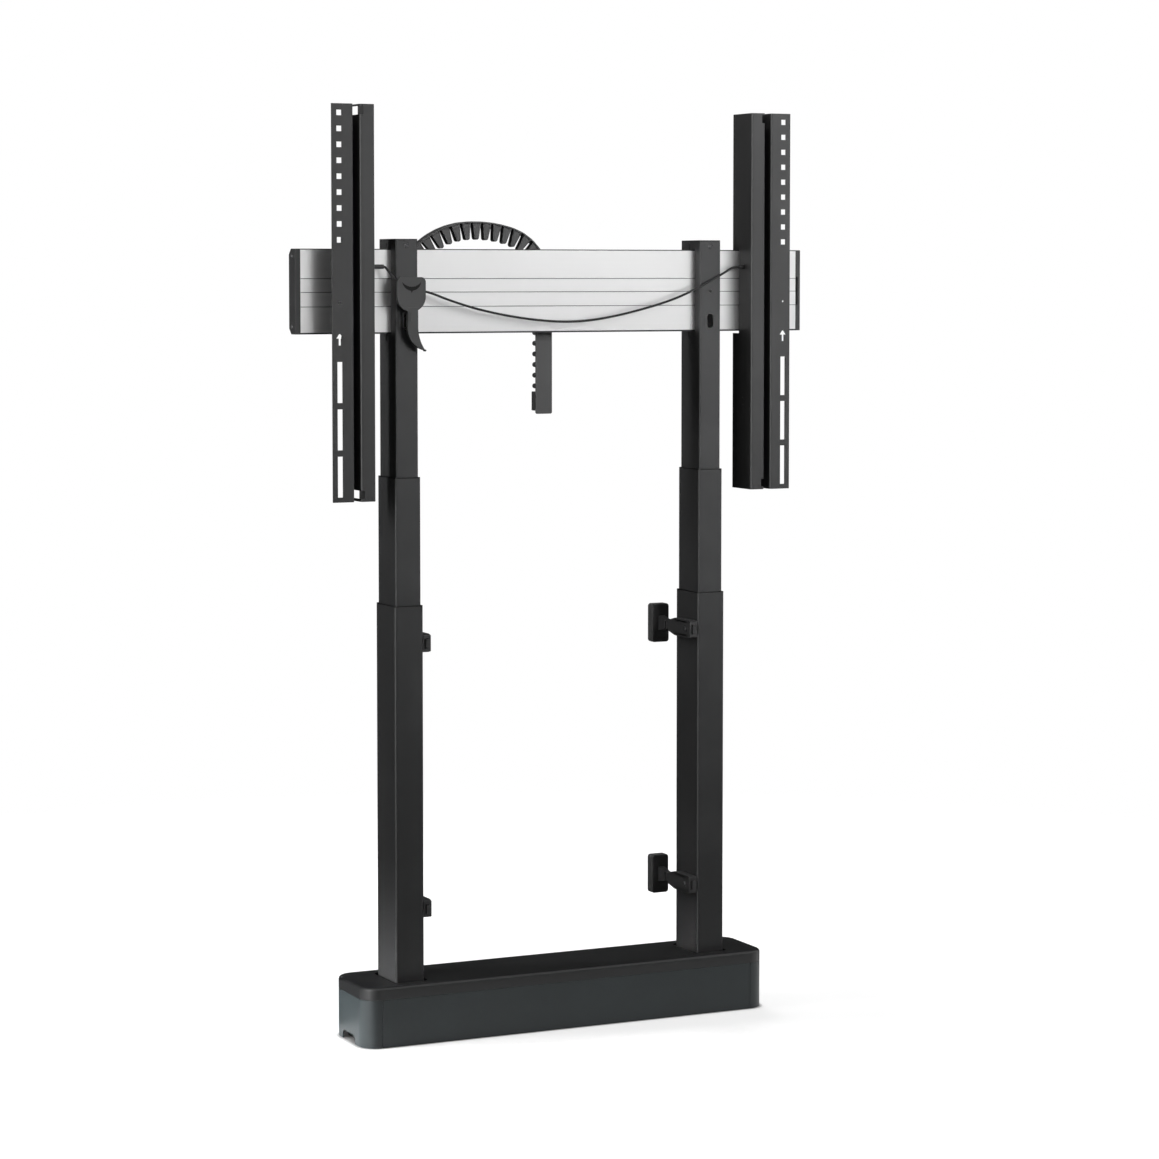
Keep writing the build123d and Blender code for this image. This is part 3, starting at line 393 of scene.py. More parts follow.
# Finishes: kind, lighter colour or the name of its setting, how dark the grain's other tone is, grain scale,
# roughness limits, bump, specular level, metallic, coat
FINISHES = {
    "column_black": ("grain", "column", 0.88, 1100, (0.36, 0.43), 0.04, 0.24, 0, 0),
    "strip_black": ("grain", "strip", 0.86, 1200, (0.38, 0.46), 0.05, 0.4, 0, 0),
    "beam_black": ("grain", (0.018, 0.018, 0.0185), 0.85, 1000, (0.42, 0.5), 0.05, 0.4, 0, 0),
    "fascia_silver": ("brushed", "fascia", 0.98, (3, 500, 900), (0.28, 0.33), 0.003, 0.5, 0.78, 0),
    "base_graphite": ("grain", "base", 0.9, 1400, (0.36, 0.44), 0.04, 0.4, 0, 0),
    "lid_black": ("grain", "lid", 0.85, 1400, (0.34, 0.42), 0.04, 0.5, 0, 0),
    "plastic_black": ("grain", "plastic", 0.85, 1500, (0.42, 0.52), 0.05, 0.35, 0, 0),
    "handle_black": ("grain", (0.031, 0.031, 0.0314), 0.88, 1500, (0.42, 0.5), 0.04, 0.4, 0, 0),
    "chain_black": ("grain", (0.038, 0.038, 0.0385), 0.85, 1300, (0.38, 0.48), 0.05, 0.4, 0, 0),
    "glide_black": ("grain", (0.004, 0.004, 0.004), 0.85, 900, (0.4, 0.5), 0.03, 0.2, 0, 0),
    "nut_pale": ("grain", (0.72, 0.70, 0.64), 0.93, 700, (0.4, 0.5), 0.04, 0.4, 0, 0),
    "spindle_steel": ("brushed", (0.58, 0.58, 0.59), 0.85, (700, 700, 1500), (0.25, 0.35), 0.03, 0.5, 1, 0),
    "cast_housing": ("grain", (0.115, 0.115, 0.125), 0.8, 420, (0.45, 0.6), 0.2, 0.4, 0, 0),
    "motor_can": ("brushed", (0.50, 0.50, 0.52), 0.85, (900, 60, 60), (0.3, 0.42), 0.03, 0.5, 1, 0),
    "board_green": ("grain", (0.03, 0.17, 0.075), 0.75, 260, (0.35, 0.5), 0.03, 0.5, 0, 0.2),
    "steel_plate": ("grain", (0.035, 0.035, 0.036), 0.85, 900, (0.4, 0.52), 0.06, 0.4, 0, 0),
    "screw_dark": ("grain", (0.09, 0.09, 0.092), 0.8, 900, (0.3, 0.4), 0.03, 0.4, 0.6, 0),
    "cord_black": ("grain", (0.013, 0.013, 0.0132), 0.8, 1600, (0.42, 0.55), 0.08, 0.35, 0, 0),
    "bracket_black": ("grain", (0.035, 0.035, 0.0355), 0.85, 1400, (0.34, 0.44), 0.05, 0.4, 0, 0),
    "arm_dark": ("grain", (0.026, 0.026, 0.0265), 0.85, 1000, (0.38, 0.48), 0.05, 0.45, 0, 0),
    "pad_black": ("grain", (0.065, 0.065, 0.065), 0.85, 1800, (0.46, 0.56), 0.1, 0.12, 0, 0),
}


# Each kind's group, its scale's input, the dulled tone's share of the lighter one and its extra roughness
GRAIN_KINDS = {
    "grain": ("Surface Grain", "Grain", 1.15, 0.05),
    "brushed": ("Brushed Grain", "Stretch", 0.97, 0.03),
}


def finish(slot):
    """The procedural material for one of the record's slots, made once."""
    name = "finish_" + slot
    if name in bpy.data.materials:
        return bpy.data.materials[name]
    kind, light, share, grain, rough, bump_strength, specular, metallic, coat = FINISHES[slot]
    if isinstance(light, str):
        light = getattr(bpy.context.scene.lift_colours, light)
    light = tuple(light)[:3]
    group, scale_input, dulled, extra = GRAIN_KINDS[kind]
    material = bpy.data.materials.new(name)
    material.use_nodes = True
    tree = material.node_tree
    place = add_node(tree, "ShaderNodeTexCoord").outputs["Object"]
    base = use_group(tree, group, {
        "Vector": place,
        scale_input: grain,
        "Dark": (*[share * value for value in light], 1),
        "Light": (*light, 1),
        "Smoothest": rough[0],
        "Roughest": rough[1],
    })
    marks = use_group(tree, "Handling Marks", {
        "Vector": place,
        "Colour": base.outputs["Colour"],
        "Roughness": base.outputs["Roughness"],
        "Dulled": (*[min(1, dulled * value) for value in light], 1),
        "Extra": extra,
    })
    bump = add_node(
        tree, "ShaderNodeBump",
        {"Strength": bump_strength, "Distance": BUMP_DISTANCE, "Height": base.outputs["Height"]},
    )
    feed(tree, tree.nodes["Principled BSDF"], {
        "Base Color": marks.outputs["Colour"],
        "Roughness": marks.outputs["Roughness"],
        "Normal": bump.outputs["Normal"],
        "Specular IOR Level": specular,
        "Metallic": metallic,
        "Coat Weight": coat,
    })
    return material


# Mesh helpers


def slot_of(node_name):
    """The record's slot of a CAD node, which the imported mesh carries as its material's name."""
    return nodes[node_name].data.materials[0].name.split(".")[0]


def new_mesh(name, points, faces):
    mesh = bpy.data.meshes.new(name)
    mesh.from_pydata([tuple(point) for point in points], [], faces)
    mesh.update()
    return mesh


@contextmanager
def edited(mesh, result=None):
    """A mesh's faces to work on, written back when the block ends, or to another mesh."""
    shape = bmesh.new()
    shape.from_mesh(mesh)
    yield shape
    shape.to_mesh(result or mesh)
    shape.free()


def tidy_normals(mesh):
    """Welds a mesh's doubles and turns its faces outwards."""
    with edited(mesh) as shape:
        bmesh.ops.remove_doubles(shape, verts=shape.verts, dist=WELD)
        bmesh.ops.recalc_face_normals(shape, faces=shape.faces)
    return mesh


def shade(mesh, sharp_angle=SHARP_ANGLE):
    mesh.shade_smooth()
    mesh.set_sharp_from_angle(angle=sharp_angle)
    return mesh


def plain_object(name, data):
    thing = bpy.data.objects.new(name, data)
    bpy.context.scene.collection.objects.link(thing)
    return thing


def evaluated_mesh(thing):
    """The mesh that an object's modifiers or curve settings give."""
    bpy.context.view_layer.update()
    graph = bpy.context.evaluated_depsgraph_get()
    return bpy.data.meshes.new_from_object(thing.evaluated_get(graph), depsgraph=graph)


def bake(thing):
    """Puts the object's evaluated mesh in place of its modifiers."""
    mesh = evaluated_mesh(thing)
    mesh.name = thing.name
    thing.modifiers.clear()
    thing.data = mesh


def soften(thing, width, steps):
    """Rounds every edge over the limit angle; the flats between them are filled afresh and shaded flat."""
    mesh = thing.data
    normals = number_flats(mesh)
    mesh.shade_smooth()
    mesh.materials.clear()
    for k in range(2):
        mesh.materials.append(None)
    bevel = thing.modifiers.new("soft edges", "BEVEL")
    bevel.width = width
    bevel.segments = steps
    bevel.limit_method = "ANGLE"
    bevel.angle_limit = SOFTENED_ANGLE
    bevel.use_clamp_overlap = False
    bevel.loop_slide = False
    bevel.miter_outer = "MITER_ARC"
    bevel.material = 1
    bake(thing)
    refill_flats(thing.data, normals)
    set_soft_normals(thing.data, normals, cos(SOFTENED_ANGLE))


def number_flats(mesh):
    """Numbers the faces, cuts those of more than four corners to triangles and gives each number's normal."""
    with edited(mesh) as shape:
        layer = shape.faces.layers.int.new("flat")
        for number, face in enumerate(shape.faces):
            face[layer] = number
        normals = [Vector((0, 0, 0)) for face in shape.faces]
        bmesh.ops.triangulate(shape, faces=[face for face in shape.faces if len(face.verts) > 4])
        for face in shape.faces:
            normals[face[layer]] += face.normal * face.calc_area()
    return [normal.normalized() for normal in normals]


def refill_flats(mesh, normals):
    """Fills each flat that the bevel left between its own rim edges."""
    with edited(mesh) as shape:
        layer = shape.faces.layers.int["flat"]
        flats = {}
        for face in shape.faces:
            if face.material_index == 0:
                flats.setdefault(face[layer], []).append(face)
        for number, faces in flats.items():
            if len(faces) > 1 or len(faces[0].verts) > 4:
                refill_flat(shape, layer, number, faces, normals[number])
        loose = [edge for edge in shape.edges if not edge.link_faces]
        bmesh.ops.delete(shape, geom=loose, context="EDGES")


def refill_flat(shape, layer, number, faces, normal):
    """Fills one flat with triangles between its rim's corners, unless they would need a new corner."""
    inside = set(faces)
    rim = [edge for face in faces for edge in face.edges if len(inside.intersection(edge.link_faces)) == 1]
    corners = list(dict.fromkeys(vertex for edge in rim for vertex in edge.verts))
    place = {vertex: k for k, vertex in enumerate(corners)}
    along = normal.orthogonal().normalized()
    across = normal.cross(along)
    flat_points = [Vector((vertex.co.dot(along), vertex.co.dot(across))) for vertex in corners]
    rim_pairs = [(place[edge.verts[0]], place[edge.verts[1]]) for edge in rim]
    points, edges, triangles, origins, *rest = delaunay_2d_cdt(flat_points, rim_pairs, [], 0, 1e-8)
    if len(points) != len(corners):
        return
    source = [corners[origin[0]] for origin in origins]
    kept = [
        [source[k] for k in triangle] for triangle in triangles
        if is_inside(sum((points[k] for k in triangle), Vector((0, 0))) / 3, flat_points, rim_pairs)
    ]
    bmesh.ops.delete(shape, geom=faces, context="FACES_ONLY")
    for triangle in kept:
        face = shape.faces.new(triangle)
        face[layer] = number
        face.smooth = True


def is_inside(point, corners, pairs):
    """Whether a line from the point crosses the rim an odd number of times."""
    inside = False
    for j, k in pairs:
        a, b = corners[j], corners[k]
        if (a.y > point.y) != (b.y > point.y) and point.x < a.x + (point.y - a.y) * (b.x - a.x) / (b.y - a.y):
            inside = not inside
    return inside


def set_soft_normals(mesh, normals, same):
    """Flats keep their own normal, shallow facets share theirs, and the rounded edges turn between them."""
    number = [item.value for item in mesh.attributes["flat"].data]
    beveled = [polygon.material_index == 1 for polygon in mesh.polygons]
    flats_at = [{} for vertex in mesh.vertices]
    turning_at = [Vector((0, 0, 0)) for vertex in mesh.vertices]
    for polygon in mesh.polygons:
        for k in polygon.vertices:
            if beveled[polygon.index]:
                turning_at[k] += polygon.normal * polygon.area
            else:
                flats_at[k][number[polygon.index]] = normals[number[polygon.index]]
    result = [None] * len(mesh.loops)
    for polygon in mesh.polygons:
        own = polygon.normal if beveled[polygon.index] else normals[number[polygon.index]]
        for loop in polygon.loop_indices:
            k = mesh.loops[loop].vertex_index
            near = flats_at[k].values()
            if not near:
                result[loop] = turning_at[k].normalized()
                continue
            nearest = max(near, key=own.dot) if beveled[polygon.index] else own
            total = sum((normal for normal in near if normal.dot(nearest) > same), Vector((0, 0, 0)))
            result[loop] = total.normalized()
    mesh.materials.clear()
    mesh.attributes.remove(mesh.attributes["flat"])
    mesh.normals_split_custom_set(result)


def mount(thing, body, slot, *replaced):
    """Gives a finished piece its material, its body and the nodes it stands for."""
    thing.data.materials.clear()
    thing.data.materials.append(finish(slot))
    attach(thing, body)
    if replaced:
        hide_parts(*replaced)


def welded_copy(node_name):
    """A CAD node's mesh with its triangles joined and its flats cleared of needless edges."""
    mesh = nodes[node_name].data.copy()
    for layer in ("custom_normal", "sharp_face"):
        if layer in mesh.attributes:
            mesh.attributes.remove(mesh.attributes[layer])
    with edited(mesh) as shape:
        bmesh.ops.remove_doubles(shape, verts=shape.verts, dist=CAD_WELD)
        bmesh.ops.dissolve_limit(shape, angle_limit=radians(0.4), verts=shape.verts, edges=shape.edges)
    return mesh


def mount_for_node(thing, node_name):
    """Mounts a piece on a CAD node's body, in the node's slot and in the node's place."""
    mount(thing, nodes[node_name]["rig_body"], slot_of(node_name), node_name)


def softened_family(family):
    scale = MM * bpy.context.scene.lift_sizes.edge_scale
    for width, steps, *names in SOFTENED[family]:
        for name in names:
            thing = plain_object(name + "_finished", welded_copy(name))
            soften(thing, width * scale, steps)
            mount_for_node(thing, name)


def circle(radius, steps):
    angles = [2 * pi * k / steps for k in range(steps)]
    return [(radius * cos(angle), radius * sin(angle)) for angle in angles]


def turned(name, profile, steps=28):
    """A round mesh about Z from (radius, height) points, which start and end on the axis."""
    points, faces, rows = [], [], []
    for radius, height in profile:
        if radius < 1e-9:
            rows.append([len(points)])
            points.append((0, 0, height))
        else:
            rows.append(list(range(len(points), len(points) + steps)))
            points += [(x, y, height) for x, y in circle(radius, steps)]
    for lower, upper in zip(rows, rows[1:]):
        for k in range(steps):
            j = (k + 1) % steps
            if len(lower) == 1:
                faces.append((lower[0], upper[j], upper[k]))
            elif len(upper) == 1:
                faces.append((lower[k], lower[j], upper[0]))
            else:
                faces.append((lower[k], lower[j], upper[j], upper[k]))
    return shade(tidy_normals(new_mesh(name, points, faces)))


def lofted(name, rows):
    """A closed mesh through rings of equally many points, with its first and last ring filled."""
    count = len(rows[0])
    points = [point for row in rows for point in row]
    faces = [tuple(range(count)), tuple(reversed(range(len(points) - count, len(points))))]
    for start in range(0, len(points) - count, count):
        for k in range(count):
            j = (k + 1) % count
            faces.append((start + k, start + j, start + count + j, start + count + k))
    return tidy_normals(new_mesh(name, points, faces))


def slab(name, outline, y_front, y_back):
    """A closed plate from an (x, z) outline and two depths."""
    return lofted(name, [[(x, y, z) for x, z in outline] for y in (y_front, y_back)])


def joined(name, meshes):
    """Several meshes as one."""
    points, faces = [], []
    for mesh in meshes:
        start = len(points)
        points += [vertex.co.copy() for vertex in mesh.vertices]
        faces += [tuple(start + k for k in face.vertices) for face in mesh.polygons]
    return new_mesh(name, points, faces)


def rounded_outline(low_x, high_x, low_z, high_z, radius, steps=5):
    points = []
    corners = ((high_x, high_z, 0), (low_x, high_z, 90), (low_x, low_z, 180), (high_x, low_z, 270))
    for x, z, start in corners:
        centre_x = x - radius if x == high_x else x + radius
        centre_z = z - radius if z == high_z else z + radius
        for k in range(steps + 1):
            angle = radians(start + 90 * k / steps)
            points.append((centre_x + radius * cos(angle), centre_z + radius * sin(angle)))
    return points


def cushion(name, low_x, high_x, low_z, high_z, y_front, y_back, corner, edge, steps=5):
    """A closed block with rounded corners, whose front and back edges are rounded too."""
    angles = [radians(90 * k / steps) for k in range(steps + 1)]
    rings = [(edge * (1 - sin(angle)), y_front + edge * (1 - cos(angle))) for angle in angles]
    rings += [(edge * (1 - sin(angle)), y_back - edge * (1 - cos(angle))) for angle in reversed(angles)]
    rows = []
    for inset, y in rings:
        sides = (low_x + inset, high_x - inset, low_z + inset, high_z - inset)
        rows.append([(x, y, z) for x, z in rounded_outline(*sides, corner - inset, 6)])
    return shade(lofted(name, rows), CUSHION_SHARP_ANGLE)


# Geometry Nodes


def new_tree(name, **inputs):
    """A geometry tree with inputs of the kinds given by their labels, besides its geometry and material."""
    tree = bpy.data.node_groups.new(name, "GeometryNodeTree")
    tree.interface.new_socket(name="Geometry", in_out="OUTPUT", socket_type="NodeSocketGeometry")
    for label, kind in {"Geometry": "Geometry", **inputs, "Material": "Material"}.items():
        tree.interface.new_socket(name=label, in_out="INPUT", socket_type="NodeSocket" + kind)
    return tree, tree.nodes.new("NodeGroupInput"), tree.nodes.new("NodeGroupOutput")


def set_input(modifier, label, value):
    """Sets a tree's input by its socket's identifier."""
    for item in modifier.node_group.interface.items_tree:
        if item.item_type == "SOCKET" and item.in_out == "INPUT" and item.name == label:
            modifier[item.identifier] = value
            return
    raise RuntimeError(f"the tree {modifier.node_group.name} has no input {label}")


def named(tree, name, kind):
    node = add_node(tree, "GeometryNodeInputNamedAttribute", {"Name": name}, data_type=kind)
    return node.outputs["Attribute"]


def placed(tree, entry, label, inputs):
    """Instances of the shape that an input names, on the tree's points."""
    shape = add_node(tree, "GeometryNodeObjectInfo", {"Object": entry.outputs[label]})
    inputs = {"Points": entry.outputs["Geometry"], "Instance": shape.outputs["Geometry"], **inputs}
    return add_node(tree, "GeometryNodeInstanceOnPoints", inputs).outputs["Instances"]


def close_tree(tree, entry, end, geometry):
    """Realizes the instances and gives them their material."""
    real = add_node(tree, "GeometryNodeRealizeInstances", {"Geometry": geometry})
    paint_inputs = {"Geometry": real.outputs["Geometry"], "Material": entry.outputs["Material"]}
    paint = add_node(tree, "GeometryNodeSetMaterial", paint_inputs)
    feed(tree, end, {"Geometry": paint.outputs["Geometry"]})
    return tree


def fastener_tree():
    """One screw on each point, its axis along the point's own direction."""
    tree, entry, end = new_tree("Fasteners", Screw="Object", Size="Float")
    outward = named(tree, "outward", "FLOAT_VECTOR")
    turn = add_node(tree, "FunctionNodeAlignRotationToVector", {"Vector": outward}, axis="Z")
    inputs = {"Rotation": turn.outputs["Rotation"], "Scale": entry.outputs["Size"]}
    return close_tree(tree, entry, end, placed(tree, entry, "Screw", inputs))


def chain_tree():
    """A tooth and a band on each point; a link turns about Y, and its band is as long as its arc."""
    tree, entry, end = new_tree("Chain Links", Tooth="Object", Band="Object")
    turn_inputs = {"X": pi, "Y": named(tree, "link_turn", "FLOAT")}
    turn = add_node(tree, "ShaderNodeCombineXYZ", turn_inputs).outputs["Vector"]
    stretch_inputs = {"X": named(tree, "band_length", "FLOAT"), "Y": 1, "Z": 1}
    stretch = add_node(tree, "ShaderNodeCombineXYZ", stretch_inputs).outputs["Vector"]
    both_kinds = add_node(tree, "GeometryNodeJoinGeometry")
    for label, inputs in (("Tooth", {"Rotation": turn}), ("Band", {"Rotation": turn, "Scale": stretch})):
        feed(tree, both_kinds, {"Geometry": placed(tree, entry, label, inputs)})
    return close_tree(tree, entry, end, both_kinds.outputs["Geometry"])


TREE_MAKERS = {"Fasteners": fastener_tree, "Chain Links": chain_tree}


def grown(name, points, attributes, tree_name, shapes, settings, slot):
    """A plain mesh from a tree on points. shapes holds the meshes that the tree repeats."""
    thing = plain_object(name, new_mesh(name, points, []))
    for label, values in attributes.items():
        is_vector = isinstance(values[0], tuple)
        layer = thing.data.attributes.new(label, "FLOAT_VECTOR" if is_vector else "FLOAT", "POINT")
        for item, value in zip(layer.data, values):
            setattr(item, "vector" if is_vector else "value", value)
    tree = bpy.data.node_groups.get(tree_name) or TREE_MAKERS[tree_name]()
    modifier = thing.modifiers.new(tree_name, "NODES")
    modifier.node_group = tree
    patterns = {label: plain_object(name + "_" + label, mesh) for label, mesh in shapes.items()}
    for label, value in {**patterns, **settings, "Material": finish(slot)}.items():
        set_input(modifier, label, value)
    bake(thing)
    for pattern in patterns.values():
        bpy.data.objects.remove(pattern)
    shade(thing.data)
    return thing


def mount_screws(name, profile, places, body, slot, *replaced, steps=28):
    """A turned screw on each (point, direction) pair, as one mounted piece."""
    points, outward = zip(*places)
    thing = grown(
        name, points, {"outward": outward}, "Fasteners", {"Screw": turned(name + "_head", profile, steps)},
        {"Size": 1.0}, slot,
    )
    mount(thing, body, slot, *replaced)


def mount_joined(name, meshes, body, slot):
    """Several small meshes as one mounted piece."""
    mount(plain_object(name, shade(tidy_normals(joined(name, meshes)))), body, slot)


# Pieces


def curve_mesh(name, kind, points, radius, spline_settings, curve_settings):
    """The mesh of a curve: its line where the radius is nothing, else its tube."""
    curve = bpy.data.curves.new(name, "CURVE")
    curve.dimensions = "3D"
    curve.bevel_depth = radius
    spline = curve.splines.new(kind)
    spline.points.add(len(points) - 1)
    for point, place in zip(spline.points, points):
        point.co = (*place, 1)
    for target, settings in ((spline, spline_settings), (curve, curve_settings)):
        for setting, value in settings.items():
            setattr(target, setting, value)
    thing = plain_object(name, curve)
    mesh = evaluated_mesh(thing)
    bpy.data.objects.remove(thing)
    return mesh


def route_mesh(name, route, radius):
    """A smooth curve with a route's points as its control points."""
    curve_settings = {"resolution_u": 14, "bevel_resolution": 5, "use_fill_caps": True}
    return curve_mesh(name, "NURBS", route, radius, {"order_u": 3, "use_endpoint_u": True}, curve_settings)


class LIFT_OT_cords(Operator):
    """The two release cords, from the pull handle to the latch sleeves"""

    bl_idname = "lift.cords"
    bl_label = "Release Cords"

    def execute(self, context):
        diameter = context.scene.lift_sizes.cord_diameter
        cords = (
            ("release_cord_left", CORD_LEFT_ROUTE, 0.042, "cord_left", (-0.3035, -0.285)),
            ("release_cord_right", CORD_RIGHT_ROUTE, 0.610, "cord_right", (-0.115, -0.25)),
        )
        for name, route, length, node_name, (held_x, free_x) in cords:
            path = [tuple(vertex.co) for vertex in route_mesh(name + "_line", route, 0).vertices]
            cord = plain_object(name, shade(tidy_normals(route_mesh(name, route, diameter / 2))))
            cord.data.materials.append(finish("cord_black"))
            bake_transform(cord)
            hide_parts(node_name)
        return {"FINISHED"}


class LIFT_OT_base(Operator):
    """The base's panels, end caps and lid"""

    bl_idname = "lift.base"
    bl_label = "Base"

    def execute(self, context):
        softened_family("base")
        return {"FINISHED"}


class LIFT_OT_columns(Operator):
    """The telescopic tubes and their caps"""

    bl_idname = "lift.columns"
    bl_label = "Columns"

    def execute(self, context):
        softened_family("columns")
        return {"FINISHED"}


class LIFT_OT_crossbar(Operator):
    """The crossbar, its silver front and its end caps"""

    bl_idname = "lift.crossbar"
    bl_label = "Crossbar"

    def execute(self, context):
        softened_family("crossbar")
        # Thin dark strips in the grooves paint the shade that falls in them
        lines = []
        for share in GROOVE_SHARES:
            middle = BAR_TOP - share * (BAR_TOP - BAR_BOTTOM)
            low, high = middle - GROOVE_LINE_HALF_HEIGHT, middle + GROOVE_LINE_HALF_HEIGHT
            outline = rounded_outline(-GROOVE_LINE_HALF_LENGTH, GROOVE_LINE_HALF_LENGTH, low, high, 0.0001, 1)
            lines.append(slab("groove", outline, *GROOVE_LINE_DEPTHS))
        mount_joined("groove_shadows", lines, "carriage", "beam_black")
        return {"FINISHED"}


class LIFT_OT_strips(Operator):
    """The two display strips with their keepers, latch sleeves and small pips"""

    bl_idname = "lift.strips"
    bl_label = "Display Strips"

    def execute(self, context):
        softened_family("strips")
        places = [((-PIP_X, PIP_Y, z), (1, 0, 0)) for z in PIP_HEIGHTS_LEFT]
        places += [((PIP_X, PIP_Y, z), (-1, 0, 0)) for z in PIP_HEIGHTS_RIGHT]
        places.append((UPPER_PIP, (-1, 0, 0)))
        mount_screws("strip_pips", PIP, places, "carriage", "strip_black", steps=16)
        return {"FINISHED"}


class LIFT_OT_release(Operator):
    """The pull handle with its claw, and its guide on the column"""

    bl_idname = "lift.release"
    bl_label = "Pull Handle"

    def execute(self, context):
        softened_family("release")
        # A near-black sheet in the crescent's recess paints the shade that falls in it
        mount(plain_object("handle_crescent", crescent_shade_mesh()), "handle", "glide_black")
        loop = [(x, SPRING_Y, z) for x, z in rounded_outline(*SPRING_X, *SPRING_Z, SPRING_CORNER, 8)]
        closed = {"use_cyclic_u": True}
        wire = curve_mesh("spring", "POLY", loop, SPRING_RADIUS, closed, {"bevel_resolution": 3})
        mount(plain_object("handle_spring", shade(tidy_normals(wire))), "handle", "glide_black")
        ribs = []
        for x in HANDLE_RIB_PLACES:
            sides = (x - HANDLE_RIB_HALF_WIDTH, x + HANDLE_RIB_HALF_WIDTH)
            outline = rounded_outline(*sides, *HANDLE_RIB_HEIGHTS, 0.0005, 3)
            ribs.append(slab("rib", outline, *HANDLE_RIB_DEPTHS))
        mount_joined("handle_ribs", ribs, "handle", "handle_black")
        return {"FINISHED"}


def crescent_shade_mesh():
    """A near-black sheet of painted shade in the handle's crescent recess, shaped by the recess's own floor.
    """
    mesh = bpy.data.meshes.new("handle_crescent")
    front, back = CRESCENT_SHADE_DEPTHS
    with edited(nodes["pull_handle"].data, mesh) as shape:
        bmesh.ops.remove_doubles(shape, verts=shape.verts, dist=CAD_WELD)
        others = [
            face for face in shape.faces
            if any(abs(vertex.co.y - CRESCENT_FLOOR_Y) > FLAT_TOLERANCE for vertex in face.verts)
        ]
        bmesh.ops.delete(shape, geom=others, context="FACES")
        if not shape.faces:
            raise RuntimeError("the handle's crescent has no floor")
        for vertex in shape.verts:
            vertex.co.y = front
        grown_parts = bmesh.ops.extrude_face_region(shape, geom=list(shape.faces))
        for vertex in {part for part in grown_parts["geom"] if isinstance(part, bmesh.types.BMVert)}:
            vertex.co.y = back
    return tidy_normals(mesh)


# The chain's curve, as the frame has it
DROP_OUTER_X = 0.0058
DROP_FIRST_PIVOT = 1.0492
ARCH_END_HEADING = 246
ARCH_CURVES = ((161.2, 0.0975), (180, 0.234), (ARCH_END_HEADING, 0.150))
CHAIN_BAND = 0.0025
CHAIN_GAP = 0.0004
CHAIN_MIDDLE_Y = 0.028
CHAIN_EDGE = 0.0005

# A tooth's half width at its root and its tip, and its rim's width and height
TOOTH_ROOT = 0.0075
TOOTH_TIP = 0.00415
TOOTH_RIM = 0.0013
TOOTH_HOLLOW = 0.0012

# The tab below the hanging links
TAB_HEIGHTS = (1.017, 1.0486)
TAB_DEPTHS = (0.018, 0.038)
TAB_CORNER = 0.0012
TAB_EDGE = 0.5


def chain_places(sizes):
    """Each link's middle, turn and band length, from the hanging end up and over to the anchor."""
    half = sizes.link_height / 2
    x, z, heading = DROP_OUTER_X - half, DROP_FIRST_PIVOT, 90
    places = []
    while heading < ARCH_END_HEADING:
        turn, band = 0, sizes.link_pitch - CHAIN_GAP
        if len(places) >= sizes.drop_links:
            outer = next(radius for limit, radius in ARCH_CURVES if heading < limit)
            turn = sizes.link_pitch / (outer - half) / radians(1)
            band = sizes.link_pitch * (outer - CHAIN_BAND) / (outer - half) - CHAIN_GAP
            heading += turn / 2
        step = (cos(radians(heading)) * sizes.link_pitch, sin(radians(heading)) * sizes.link_pitch)
        places.append(((x + step[0] / 2, CHAIN_MIDDLE_Y, z + step[1] / 2), -radians(heading), band))
        x, z, heading = x + step[0], z + step[1], heading + turn / 2
    return places


def tooth_mesh(sizes):
    """A block that narrows to a round tip, with a raised rim around its front and back."""
    half, front = sizes.link_height / 2, sizes.link_depth / 2
    back = front - sizes.tooth_depth
    outline = [(TOOTH_ROOT, half - CHAIN_BAND), (-TOOTH_ROOT, half - CHAIN_BAND)]
    for angle in (radians(degrees) for degrees in range(0, 181, 20)):
        outline.append((-TOOTH_TIP * cos(angle), TOOTH_TIP - half - TOOTH_TIP * sin(angle)))
    mesh = bpy.data.meshes.new("tooth")
    with edited(slab("tooth", outline, front, back), mesh) as shape:
        for y, inward in ((front, -TOOTH_HOLLOW), (back, TOOTH_HOLLOW)):
            flat = [face for face in shape.faces if all(abs(vertex.co.y - y) < 1e-7 for vertex in face.verts)]
            bmesh.ops.inset_region(shape, faces=flat, thickness=TOOTH_RIM, use_even_offset=True)
            for vertex in {vertex for face in flat for vertex in face.verts}:
                vertex.co.y += inward
    return tidy_normals(mesh)


def band_mesh(sizes):
    """A strap of unit length, which the tree stretches along the chain; its ends are rounded off."""
    half = sizes.link_height / 2
    deep = sizes.link_depth / 2
    section = [
        (deep - CHAIN_EDGE, half), (deep, half - CHAIN_EDGE), (deep, half - CHAIN_BAND),
        (-deep, half - CHAIN_BAND), (-deep, half - CHAIN_EDGE), (CHAIN_EDGE - deep, half),
    ]
    rows = []
    for x, pull in ((-0.5, CHAIN_EDGE), (-0.47, 0), (0.47, 0), (0.5, CHAIN_EDGE)):
        rows.append([(x, y, z - pull if z > half - 2 * CHAIN_EDGE else z) for y, z in section])
    return lofted("band", rows)


